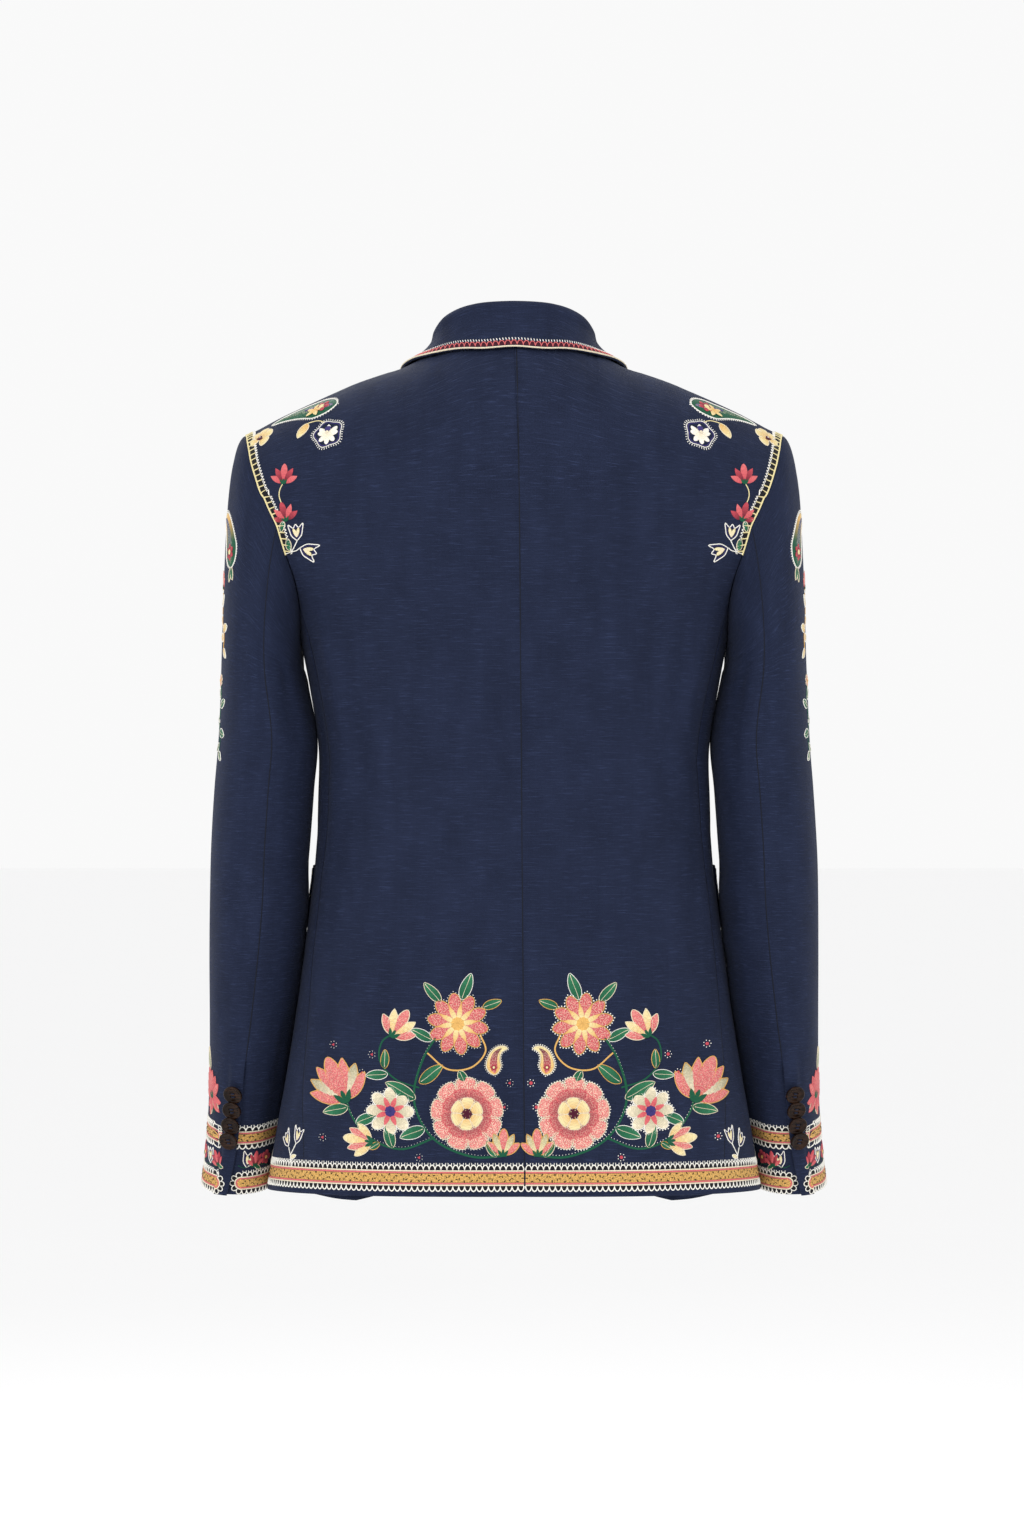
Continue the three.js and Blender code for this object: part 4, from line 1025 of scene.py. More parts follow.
def start_material(name):
    material = bpy.data.materials.new(name)
    material.use_nodes = True
    return material, Nodes(material.node_tree), material.node_tree.nodes["Principled BSDF"]


def uv_of(n):
    node = n.tree.nodes.new("ShaderNodeUVMap")
    node.uv_map = "cloth"
    return node.outputs["UV"]


def attribute(n, name, output):
    node = n.tree.nodes.new("ShaderNodeAttribute")
    node.attribute_name = name
    return node.outputs[output]


def linen_material(name, group, ground, pale):
    """Slubbed linen: the ground colour, paler along its thick threads and darker between the rows."""
    _, n, shader = start_material(name)
    weave = n.group(group, Cloth=uv_of(n), Pitch=mm("weave"), Slub=bpy.context.scene.jacket_sizes.slub)
    threads = n.blend(weave["Pale"], (*ground, 1), (*pale, 1))
    lit = n.blend(n.times(n.plus(weave["Shade"], 0.25, clamp=True), 0.5), threads, (*pale, 1))
    shadow = (*(c * 0.42 for c in ground), 1)
    dark = n.blend(n.times(n.minus(0.1, weave["Shade"], clamp=True), 1.6), lit, shadow)
    n.put(shader.inputs["Base Color"], dark)
    n.put(shader.inputs["Roughness"], n.plus(0.72, n.times(weave["Pale"], 0.16)))
    n.put(shader.inputs["Normal"], n.bump(weave["Height"], 0.55, 0.0004))
    shader.inputs["Sheen Weight"].default_value = 0.05
    shader.inputs["Sheen Roughness"].default_value = 0.45
    shader.inputs["Sheen Tint"].default_value = (0.62, 0.68, 0.9, 1)
    shader.inputs["Specular IOR Level"].default_value = 0.1


def thread_material(group):
    """Embroidery thread: the stitches' own tint, flecked with cream, or with dark gold where the fleck is
    below zero; each thread in its own random tone, with a painted highlight on its crown and painted shade
    in the gaps between threads."""
    _, n, shader = start_material("embroidery_thread")
    stitch = n.group(group, Ribbon=uv_of(n), Pitch=mm("stitch"))
    base = attribute(n, "tint", "Color")
    signed = attribute(n, "fleck", "Fac")
    pale = n.times(n.math("MAXIMUM", signed, 0.0), stitch["Fleck"])
    dark = n.times(n.math("MAXIMUM", n.times(signed, -1.0), 0.0), stitch["Fleck"])
    flecked = n.blend(dark, n.blend(pale, base, (*tint("cream"), 1)), (*(0.22 * c for c in tint("gold")), 1))
    # Tint scaled by each thread's random tone and by painted light: a painted highlight on each thread's
    # crown, painted shade between threads
    scale = n.plus(1.0, stitch["Shade"])
    node = n.tree.nodes.new("ShaderNodeVectorMath")
    node.operation = "SCALE"
    n.put(node.inputs[0], flecked)
    n.put(node.inputs["Scale"], scale)
    n.put(shader.inputs["Base Color"], node.outputs[0])
    n.put(shader.inputs["Roughness"], n.minus(0.62, n.times(stitch["Thread"], 0.16)))
    n.put(shader.inputs["Normal"], n.bump(stitch["Thread"], 0.5, 0.00018))
    shader.inputs["Sheen Weight"].default_value = 0.03
    shader.inputs["Specular IOR Level"].default_value = 0.17


def horn_material():
    """Polished horn: bands of pale and dark drawn out along one direction, with a thin clear gloss."""
    _, n, shader = start_material("horn_button")
    place = n.tree.nodes.new("ShaderNodeTexCoord").outputs["Object"]
    bands = n.noise(place, (160, 420, 900), 4.0, 0.6)
    cloud = n.noise(place, (90, 90, 90))
    shades = [(*(min(c * share, 1) for c in tint("horn")), 1) for share in (0.35, 2.6, 0.6)]
    base = n.blend(n.ramp(bands, 0.35, 0.7), *shades[:2])
    n.put(shader.inputs["Base Color"], n.blend(n.ramp(cloud, 0.4, 0.7), base, shades[2]))
    n.put(shader.inputs["Roughness"], n.plus(0.12, n.times(bands, 0.2)))
    n.put(shader.inputs["Normal"], n.bump(bands, 0.12, 0.0002))
    shader.inputs["Coat Weight"].default_value = 0.03
    shader.inputs["Specular IOR Level"].default_value = 0.13


def plain_material(name, rgb, rough):
    material, n, shader = start_material(name)
    place = n.tree.nodes.new("ShaderNodeTexCoord").outputs["Object"]
    drift = n.noise(place, (2.5, 2.5, 2.5))
    darker = (*(c * 0.9 for c in rgb), 1)
    n.put(shader.inputs["Base Color"], n.blend(n.times(drift, 0.06), (*rgb, 1), darker))
    shader.inputs["Roughness"].default_value = rough
    shader.inputs["Specular IOR Level"].default_value = 0.1
    return material


def material_of(name):
    return bpy.data.materials[name]


class JACKET_OT_materials(bpy.types.Operator):
    """Make the linen, embroidery thread and horn"""
    bl_idname = "jacket.materials"
    bl_label = "Cloth, thread and horn"

    def execute(self, context):
        weave = slubbed_weave()
        linen_material("navy_linen", weave, tint("linen"), tint("linen_light"))
        thread_material(satin())
        horn_material()
        return {"FINISHED"}


class JACKET_OT_body(bpy.types.Operator):
    """Make the back, side and front panels with their folds"""
    bl_idname = "jacket.body_panels"
    bl_label = "Body panels"

    def execute(self, context):
        for label, side in SIDES:
            make_back(label, side)
            make_side(label, side)
            make_front(label, side)
        return {"FINISHED"}


class JACKET_OT_sleeves(bpy.types.Operator):
    """Make the two-piece sleeves with their vents"""
    bl_idname = "jacket.sleeves"
    bl_label = "Sleeves"

    def execute(self, context):
        for label, side in SIDES:
            make_sleeve(label, side)
        return {"FINISHED"}


class JACKET_OT_collar(bpy.types.Operator):
    """Make the collar and the folded lapels"""
    bl_idname = "jacket.collar_lapels"
    bl_label = "Collar and lapels"

    def execute(self, context):
        make_collar()
        for label, side in SIDES:
            make_lapel(label, side)
        return {"FINISHED"}


class JACKET_OT_flaps(bpy.types.Operator):
    """Make the pocket flaps"""
    bl_idname = "jacket.pocket_flaps"
    bl_label = "Pocket flaps"

    def execute(self, context):
        for label, side in SIDES:
            make_flap(label, side)
        return {"FINISHED"}


# Needlework

# Blends of thread, from the foot of a petal to its tip
LEAFY, GOLDEN, WARM, DEEP = ("green", "leaf"), ("gold", "straw"), ("coral", "rose"), ("burgundy", "coral")


def threads(colours):
    """Colours as numbers, from a colour's name, from the names of a blend, or from numbers."""
    if isinstance(colours, str):
        return tint(colours)
    return [tint(c) if isinstance(c, str) else c for c in colours]


def left_of(ahead):
    """Steps turned a quarter to the left, in a chart."""
    return np.stack([-ahead[..., 1], ahead[..., 0]], axis=-1)


class Needlework:
    """Stitches gathered in chart coordinates (millimetres across and up), to be laid on a surface at once.

    A strip follows a spine with a half width at each of its points; its section is a low half ellipse
    whose edges sink into the cloth. Cloth coordinates run along and across it, so satin threads lie
    across the strip."""

    def __init__(self):
        self.parts, self.faces, self.count = [], [], 0

    def add(self, p, high, uv, tints, fleck, faces):
        n = len(p)
        self.parts.append((p, high, uv, np.broadcast_to(tints, (n, 3)), np.full(n, fleck)))
        self.faces.append(faces + self.count)
        self.count += n

    def strip(self, spine, half, colours, high=0.45, lift=0.0, fleck=0.0, cross=4, closed=False):
        spine = np.asarray(spine, float)
        if closed:
            spine = np.concatenate([spine, spine[:1]])
            spread = np.concatenate([spine[-2:-1], spine, spine[1:2]])
            ahead = unit(spread[2:] - spread[:-2])
        else:
            ahead = unit(np.gradient(spine, axis=0))
        n = len(spine)
        half = np.broadcast_to(half, (n,)).astype(float)
        k = np.linspace(-1, 1, cross + 1)
        p = spine[:, None] + left_of(ahead)[:, None] * (half[:, None] * k)[..., None]
        swell = np.sqrt(np.clip(half / max(half.max(), 1e-6), 0, 1))[:, None]
        rise = lift + high * np.sqrt(1 - k**2)[None] * swell - 0.12 * (np.abs(k) == 1)[None]
        way = arc(spine)
        uv = vec(way[:, None], half[:, None] * k)
        colours = np.asarray(threads(colours), float)
        if colours.ndim == 2:
            share = (way / max(way[-1], 1e-6))[:, None, None] * (len(colours) - 1)
            i = np.clip(share.astype(int), 0, len(colours) - 2)[..., 0]
            colours = mix(colours[i], colours[i + 1], share - i[..., None]) * np.ones((1, cross + 1, 1))
            colours = colours.reshape(-1, 3)
        self.add(p.reshape(-1, 2), rise.ravel(), uv.reshape(-1, 2), colours, fleck, grid_faces(n, cross + 1))

    def dots(self, centres, radius, colours, high=0.5, lift=0.0):
        """Beads of thread: a ring of six points at the cloth and one raised in the middle."""
        centres = np.asarray(centres, float)
        m = len(centres)
        a = np.arange(6) * np.pi / 3
        local = np.concatenate([[[0, 0]], vec(np.cos(a), np.sin(a)) * radius])
        p = centres[:, None] + local[None]
        rise = np.tile([lift + high] + [lift - 0.08] * 6, m)
        quads = np.array([[0, 1, 2, 3], [0, 3, 4, 5], [0, 5, 6, 1]])
        faces = (quads[None] + 7 * np.arange(m)[:, None, None]).reshape(-1, 4)
        self.add(p.reshape(-1, 2), rise, np.tile(local, (m, 1)), threads(colours), 0.0, faces)

    def ticks(self, foot, head, half, colours, high=0.35, lift=0.0):
        """Single straight stitches from a row of feet to a row of heads, each with a raised middle line."""
        foot, head = np.asarray(foot, float), np.asarray(head, float)
        m = len(foot)
        side = left_of(unit(head - foot)) * half
        p = np.stack([foot - side, foot, foot + side, head - side, head, head + side], axis=1)
        rise = np.tile(lift + np.array([-0.08, high, -0.08] * 2), m)
        length = np.linalg.norm(head - foot, axis=-1)
        uv = np.stack([np.stack([np.zeros(m), length * 0, length * 0, length, length, length], axis=1),
                       np.tile([-half, 0, half, -half, 0, half], (m, 1))], axis=-1)
        quads = np.array([[0, 1, 4, 3], [1, 2, 5, 4]])
        faces = (quads[None] + 6 * np.arange(m)[:, None, None]).reshape(-1, 4)
        self.add(p.reshape(-1, 2), rise, uv.reshape(-1, 2), threads(colours), 0.0, faces)

    def lay(self, name, chart, side):
        """One mesh of all stitches on a chart's surface, mirrored for the right side, facing outwards."""
        p, high, uv, tints, flecks = (np.concatenate(x) for x in zip(*self.parts))
        points, normals = chart(p[:, 0], p[:, 1])
        flip = np.array([side, 1, 1])
        points, normals = (points + normals * high[:, None]) * flip, normals * flip
        faces = np.concatenate(self.faces)
        c = points[faces]
        out = (np.cross(c[:, 2] - c[:, 0], c[:, 3] - c[:, 1]) * normals[faces[:, 0]]).sum(axis=1) < 0
        faces[out] = faces[out][:, ::-1]
        piece = new_mesh(name, points, faces, uv=uv, tints=tints, flecks=flecks,
                         material=material_of("embroidery_thread"))


# Shapes of petals and leaves: powers of the widening from the base and of the closing to the tip
PROFILES = {"round": (0.85, 0.36), "petal": (0.8, 0.6), "pointed": (0.7, 0.95), "leaf": (0.62, 0.8)}


def profile(kind, t):
    """Half width along a petal: t^a (1 - t)^b, scaled to a greatest value of 1."""
    a, b = PROFILES[kind]
    best = a / (a + b)
    return t**a * (1 - t) ** b / (best**a * (1 - best) ** b)


def turned(degrees):
    a = math.radians(degrees)
    return np.array([math.cos(a), math.sin(a)])


def petal_line(base, heading, length, width, kind, bend):
    """Spine and half widths of a petal: a line bowed sideways by a sine, with closer points at its ends."""
    t = (1 - np.cos(np.linspace(0, np.pi, 13))) / 2
    ahead = turned(heading)
    bow = (bend * np.sin(np.pi * t * 0.5) ** 2)[:, None]
    spine = np.asarray(base) + ahead * (t * length)[:, None] + left_of(ahead) * bow
    return spine, width / 2 * profile(kind, t)


def contour(spine, half, grow=0.0):
    """The closed outline of a strip, moved out by a distance."""
    ahead = unit(np.gradient(spine, axis=0))
    side = left_of(ahead) * (half + grow)[:, None]
    ends = (spine[0] - ahead[0] * grow)[None], (spine[-1] + ahead[-1] * grow)[None]
    return np.concatenate([ends[0], (spine + side)[1:-1], ends[1], (spine - side)[-2:0:-1]])


def spaced(line, pitch, closed=False):
    """Places at an even distance along a line."""
    line = np.asarray(line, float)
    if closed:
        line = np.concatenate([line, line[:1]])
    way = arc(line)
    count = max(int(round(way[-1] / pitch)), 2)
    s = np.linspace(0, way[-1], count + 1)[:-1] if closed else np.linspace(0, way[-1], count + 1)
    return vec(np.interp(s, way, line[:, 0]), np.interp(s, way, line[:, 1]))


def smooth_line(points, shares):
    """A Catmull-Rom curve through a few places, at some shares of its way or at so many even ones."""
    shares = np.linspace(0, 1, shares) if isinstance(shares, int) else shares
    flat = np.concatenate([np.asarray(points, float), np.zeros((len(points), 1))], axis=1)[None]
    return through(np.repeat(flat, len(shares), axis=0), shares)[:, :2]


def petal(work, base, heading, length, width, colours, kind="petal", bend=0.0, lift=0.0, high=0.55, rim=None,
          rim_half=0.32, beads=None, fleck=0.0, vein=None):
    """A satin-stitched petal or leaf, with an optional outline, vein and row of beads around it."""
    spine, half = petal_line(base, heading, length, width, kind, bend)
    work.strip(spine, half, colours, high, lift, fleck, 6)
    if vein is not None:
        work.strip(spine[2:-2], 0.28, vein, 0.3, lift + high * 0.8, cross=2)
    if rim is not None:
        around = spaced(contour(spine, half, 0.15), 1.3, True)
        work.strip(around, rim_half, rim, 0.4, lift + 0.12, cross=2, closed=True)
    if beads is not None:
        work.dots(spaced(contour(spine, half, 1.4), 2.2, True), 0.62, beads, 0.5)


def disc(work, centre, radius, colours, lift=0.2, high=0.5):
    """A round filling worked from its middle to its edge."""
    a = np.linspace(0, 2 * np.pi, 19)
    ring = np.asarray(centre) + vec(np.cos(a), np.sin(a)) * radius * 0.5
    work.strip(ring, radius * 0.5, colours, high, lift)


def ring_of(centre, radius, count):
    a = np.arange(count) * 2 * np.pi / count
    return np.asarray(centre) + vec(np.cos(a), np.sin(a)) * radius


def stem(work, points, half, colours, beads=None):
    line = smooth_line(points, 8 * len(points))
    work.strip(line, half, colours, 0.42, 0.02, cross=3)
    if beads is not None:
        work.dots(spaced(line, 2.4) + np.array([0, half + 0.7]), 0.4, beads, 0.4)


def leaf(work, base, heading, length, width, colours, rim, bend=1.5, vein=None):
    petal(work, base, heading, length, width, colours, "leaf", bend, 0.02, 0.5, rim, 0.26, vein=vein)


def daisy(work, centre, radius, count, outer, inner, heart, turn=0.0, rim=None, beads=None):
    """An open flower: a ring of long petals, a shorter ring between them and a beaded heart."""
    for shift, start, reach, broad, colours, kind, lift, high, edge, dots, fleck in (
            (0.0, 0.18, 0.82, 4.1, outer, "petal", 0.0, 0.6, rim, beads, 0.5),
            (0.5, 0.14, 0.5, 2.1, inner, "pointed", 0.3, 0.5, None, None, 0.0)):
        for k in range(count):
            heading = turn + 360 / count * (k + shift)
            petal(work, np.asarray(centre) + turned(heading) * radius * start, heading, radius * reach,
                  radius * broad / count, colours, kind, 0.0, lift, high, edge, beads=dots, fleck=fleck)
    disc(work, centre, radius * 0.24, heart, 0.5, 0.6)
    work.dots(ring_of(centre, radius * 0.25, 10), 0.55, "cream", 0.6, 0.4)


def rosette(work, centre, radius, turn=0.0):
    """A full round rose: three rings of broad petals laid over each other, pale towards the edge."""
    rings = ((1.0, 9, 0.36, WARM, "cream", 0.8, 0.0, 0.0, "white"),
             (0.7, 8, 0.32, DEEP, "rose", 0.35, 0.35, 0.5, None),
             (0.44, 6, 0.26, GOLDEN, "cream", 0.3, 0.7, 0.5, None))
    for share, count, inside, colours, rim, fleck, lift, shift, beads in rings:
        for k in range(count):
            heading = turn * share + 360 / count * (k + shift)
            start = np.asarray(centre) + turned(heading) * radius * share * inside
            petal(work, start, heading, radius * share * (1 - inside), radius * share * 5.4 / count,
                  colours, "round", 0.0, lift, 0.55, rim, fleck=fleck, beads=beads)
    disc(work, centre, radius * 0.15, "burgundy", 1.0, 0.5)
    work.dots(ring_of(centre, radius * 0.1, 5), 0.6, "straw", 0.5, 1.3)


def tulip(work, foot, heading, length, colours, edge, spread=34.0, petals=5, rim=None, fleck=0.4):
    """A cup flower from the side: pointed petals fanned from one foot, the middle one on top; a calyx."""
    half = (petals - 1) / 2
    for k in sorted(range(petals), key=lambda k: -abs(k - half)):
        off = (k - half) / half
        middle = 1 - abs(off)
        petal(work, foot, heading + off * spread, length * (0.78 + 0.22 * middle), length * 0.36,
              colours if int(abs(off) * 2) % 2 == 0 else edge, "pointed" if middle < 0.9 else "petal",
              off * length * 0.12, 0.15 + 0.25 * middle, 0.55, rim, fleck=fleck)
    below = np.asarray(foot) - turned(heading) * length * 0.1
    for off in (-38, 0, 38):
        petal(work, below, heading + off, length * 0.34, length * 0.15, "green", "leaf", 0, 0.55, 0.4)


def bud(work, foot, heading, length):
    """An outlined bud: a white line round a three-pointed cup, an indigo line within it, pale petals."""
    ahead = turned(heading)
    outline = [(0, 0), (0.3, 0.3), (0.62, 0.4), (1.0, 0.46), (0.78, 0.17), (0.98, 0.0),
               (0.78, -0.17), (1.0, -0.46), (0.62, -0.4), (0.3, -0.3), (0, 0)]
    shape = np.array(outline) * length
    place = np.asarray(foot) + shape[:, :1] * ahead + shape[:, 1:] * left_of(ahead)
    ring = smooth_line(place, 60)[:-1]
    middle = np.asarray(foot) + ahead * length * 0.55
    work.strip(ring, 0.42, "white", 0.45, 0.05, cross=2, closed=True)
    work.strip(middle + (ring - middle) * 0.78, 0.24, "indigo", 0.35, 0.04, cross=2, closed=True)
    for off in (-17, 17):
        petal(work, np.asarray(foot) + ahead * length * 0.2, heading + off, length * 0.6, length * 0.2,
              ("cream", "straw"), "petal", 0, 0.08, 0.4)


def paisley(work, centre, length, turn, curl, colours, inner, bead=0.58, rim="cream", core_share=0.6):
    """A curled drop: its spine is an arc that tightens to the tip, its half width a drop profile; inside lie
    a smaller drop, a flower with a heart, and a row of beads goes round it."""
    t = (1 - np.cos(np.linspace(0, np.pi, 26))) / 2
    bend = curl * (0.25 + 1.9 * t**2.2)
    steps = vec(np.cos(bend), np.sin(bend)) * np.gradient(t)[:, None] * length
    spine = np.cumsum(steps, axis=0)
    half = length * 0.27 * (1 - t) ** 0.62 * np.sqrt(np.clip(t / 0.24, 0, 1)) * (1 - 0.25 * t)
    half[[0, -1]] = 0
    a = math.radians(turn)
    spin = np.array([[math.cos(a), -math.sin(a)], [math.sin(a), math.cos(a)]])
    place = (spine - spine[8]) @ spin.T + np.asarray(centre)
    work.strip(place, half, colours, 0.6, 0.0, 0.0, 6)
    work.strip(spaced(contour(place, half, 0.2), 1.5, True), 0.4, rim, 0.5, 0.1, cross=2, closed=True)
    core = slice(3, 19)
    within = half[core] * core_share * np.sin(np.linspace(0.1, np.pi - 0.05, 16)) ** 0.5
    work.strip(place[core], within, inner, 0.45, 0.5, 0.4, 4)
    for k in range(6):
        petal(work, place[7], turn + 60 * k, length * 0.11, length * 0.07, DEEP, "petal", 0, 0.85, 0.4)
    disc(work, place[7], length * 0.035, "straw", 1.3, 0.3)
    work.dots(spaced(contour(place, half, 0.7 + bead), 3 * bead, True), bead, "white", 0.5)


# Charts: where stitches lie

def plan_chart(side, shift=0.0):
    """The back as seen from behind: millimetres out from the centre, and height."""
    skin, normal = torso_surface(side)

    def chart(x, z):
        place = back_place(x + shift * side, z)
        return skin(*place), normal(*place)
    return chart


def patch_chart(skin, normal, u0, v0):
    """A flat patch of a surface round a place: millimetres across and up are turned into the surface's two
    parameters by the inverse of its slopes there."""
    step_u, step_v = 0.2, 0.002
    u0, v0 = np.array(float(u0)), np.array(float(v0))
    along_u = (skin(u0 + step_u, v0) - skin(u0 - step_u, v0)) / (2 * step_u)
    along_v = (skin(u0, v0 + step_v) - skin(u0, v0 - step_v)) / (2 * step_v)
    n = normal(u0, v0)
    rise = np.array([0, -0.2, 1])
    rise = unit(rise - n * (rise * n).sum())
    back = np.linalg.pinv(np.stack([along_u, along_v], axis=-1))
    to_u, to_v = back @ np.cross(n, rise), back @ rise

    def chart(p, q):
        u, v = u0 + to_u[0] * p + to_v[0] * q, v0 + to_u[1] * p + to_v[1] * q
        return skin(u, v), normal(u, v)
    return chart


def path_chart(skin, normal, u, v, inward=1.0, step_u=0.2, step_v=0.002):
    """A strip of surface along a path: the first coordinate runs along the path in millimetres, the second
    away from it at a right angle. At places along the path the surface's slopes are inverted, and what lies
    between is interpolated. Also gives the path's length."""
    u, v = np.broadcast_arrays(np.asarray(u, float), np.asarray(v, float))
    line = skin(u, v)
    way = arc(line)
    along_u = (skin(u + step_u, v) - skin(u - step_u, v)) / (2 * step_u)
    along_v = (skin(u, v + step_v) - skin(u, v - step_v)) / (2 * step_v)
    n = normal(u, v)
    ahead = unit(np.gradient(line, axis=0))
    inside = unit(np.cross(n, ahead)) * inward
    back = np.linalg.pinv(np.stack([along_u, along_v], axis=-1))
    grow = np.einsum("nij,nj->ni", back, inside)

    def chart(s, w):
        a = np.interp(s, way, u) + np.interp(s, way, grow[:, 0]) * w
        b = np.interp(s, way, v) + np.interp(s, way, grow[:, 1]) * w
        return skin(a, b), normal(a, b)
    return chart, float(way[-1])


# Borders

def step_beside(chart, length, reach):
    """The step on the surface from a path's middle to that far beside it."""
    on_path, beside = chart(np.full(2, length / 2), np.array([0.0, reach]))[0]
    return beside - on_path


LOOP = np.linspace(0, np.pi, 9)[:-1]


def arches(work, length, pitch, foot, tall, half, colours, start=0.0, lift=0.2):
    """A row of looped stitches, each half an ellipse one pitch wide; gives the middles of the loops."""
    count = max(int(round((length - start) / pitch)), 1)
    gap = (length - start) / count
    along = start + (np.arange(count)[:, None] + 0.5 - 0.5 * np.cos(LOOP)) * gap
    work.strip(vec(along, foot + tall * np.sin(LOOP)).reshape(-1, 2), half, colours, 0.4, lift, cross=2)
    return start + (np.arange(count) + 0.5) * gap


def straight(work, start, end, height, half, colours, high=0.4, lift=0.03, fleck=0.0, cross=2):
    s = np.linspace(start, end, max(int((end - start) / 3), 2) + 1)
    work.strip(vec(s, height), half, colours, high, lift, fleck, cross)


def seeds(work, start, end, middle, reach, k):
    """Small dark stitches strewn over a band: their height is a sine of their number, as is their turn."""
    i = np.arange(int((end - start) / (1.9 * k)))
    place = vec(start + (i + 0.5) * 1.9 * k, middle + reach * np.sin(2.4 * i))
    step = vec(np.cos(1.7 * i), np.sin(1.7 * i)) * 0.85 * k
    work.ticks(place - step, place + step, 0.5 * k, tuple(0.06 * c for c in tint("gold")), 0.3, 0.36)


# The wide border: pitch of its loops, height of its gold's middle, reach of a round end
LOOP_PITCH, GOLD_MIDDLE, ROUND_REACH = 4.45, 14.1, 10.6


def round_end(work, at_s, way, middle, k):
    """The wide border turned half round at one end, about the middle of its gold."""
    def around(radius, angle=np.linspace(-90, 90, 25)):
        a = np.radians(angle)
        return np.array([at_s, middle]) + vec(way * radius * np.cos(a), radius * np.sin(a)) * k

    for radius, half, shade, high, lift, fleck in (
            (7.6, 2.2, "ink", 0.12, 0.05, 0), (5.4, 0.6, "cream", 0.4, 0.06, 0),
            (4.1, 0.6, "rose", 0.4, 0.04, 0), (1.9, 1.9, "gold", 0.35, 0.03, -0.7)):
        work.strip(around(radius), half * k, shade, high, lift, fleck, 4)
    count = int(round(np.pi * 7.4 / LOOP_PITCH))
    angle = -90 + (np.arange(count)[:, None] + 0.5 - 0.5 * np.cos(LOOP)) * 180 / count
    loops = around(5.8 + 4 * np.sin(LOOP) + 0 * angle, angle).reshape(-1, 2)
    work.strip(loops, 0.42 * k, "white", 0.4, 0.2, cross=2)


def wide_border(work, start, end, foot=0.0, k=1.0, ends=(False, False)):
    """The gold border, k of its full width: scalloped loops below, a pale cord and a coral line on each
    side of the seeded gold, then loops over a dark ground and a row of picot stitches above."""
    middle = foot + GOLD_MIDDLE * k
    for flag, way in zip(ends, (-1, 1)):
        if flag:
            round_end(work, (start if way < 0 else end) - way * ROUND_REACH * k, way, middle, k)
    start, end = start + ROUND_REACH * k * ends[0], end - ROUND_REACH * k * ends[1]
    for height, half, shade, high, lift in (
            (6.3, 2.1, "ink", 0.12, 0.05), (8.8, 0.55, "cream", 0.4, 0.06), (10.0, 0.6, "rose", 0.4, 0.04),
            (18.2, 0.6, "rose", 0.4, 0.04), (19.4, 0.55, "cream", 0.4, 0.06), (21.9, 2.1, "ink", 0.12, 0.05)):
        straight(work, start, end, foot + height * k, half * k, shade, high, lift, cross=4)
    straight(work, start, end, middle, 3.6 * k, "gold", 0.35, 0.03, -0.7, 6)
    seeds(work, start, end, middle, 2.5 * k, k)
    arches(work, end, LOOP_PITCH * k, foot + 8.3 * k, -4.1 * k, 0.5 * k, "white", start)
    middles = arches(work, end, LOOP_PITCH * k, foot + 19.9 * k, 3.9 * k, 0.44 * k, "white", start)
    gap = middles[1] - middles[0]
    for shift in (-0.25, 0.25):
        below = vec(middles + shift * gap, foot + 23.6 * k)
        above = vec(middles + 1.3 * shift * gap, foot + 25.4 * k)
        work.ticks(below, above, 0.28 * k, "white", 0.35, 0.05)


class JACKET_OT_borders(bpy.types.Operator):
    """Embroider the borders of the hem, armholes, cuffs, collar and flaps"""
    bl_idname = "jacket.borders"
    bl_label = "Embroidered borders"

    def execute(self, context):
        for label, side in SIDES:
            hem_border(label, side)
            armhole_border(label, side)
            cuff_borders(label, side)
            flap_border(label, side)
            # Painted seam shadows: thin dark lines where the panels' seams lie in shade
            painted_seam_shadows(label, side)
        collar_border()
        return {"FINISHED"}


def panel_surface(side):
    """The torso's surface with the right front's rise over the left one, and its normals."""
    skin, normal = torso_surface(side)

    def raised(angle, level):
        points = skin(angle, level)
        rise = overlap_rise(side, points[..., 0]) * ease(angle, 95, 120)
        return points + body_normal(angle, level) * np.asarray(rise)[..., None]
    return raised, normal


def hem_border(label, side):
    """Along the hem from the centre back to the front, then up the rounded front corner."""
    skin, normal = panel_surface(side)
    start = float(angle_at(SEAM_DRIFT * side, 0.0, False))
    corner = float(angle_at(float(front_edge(0.0)), 0.0, True))
    up = np.linspace(0, 0.6, 90)[1:] ** 1.3 / 0.6**0.3
    u = np.concatenate([np.linspace(start, corner, 220), angle_at(front_edge(up), up, True)])
    v = np.concatenate([np.zeros(220), up])
    chart, length = path_chart(skin, normal, u, v, -1.0)
    bend = length - float(arc(skin(u[219:], v[219:]))[-1])
    work = Needlework()
    wide_border(work, 0.6, bend + 62, ends=(False, True))
    end = length - 4 if side < 0 else bend + 165
    straight(work, bend + 62, end, 3.0, 0.5, "straw")
    arches(work, end, 4.2, 3.4, 2.4, 0.36, "white", bend + 62)
    work.lay("hem_border_" + label, chart, side)


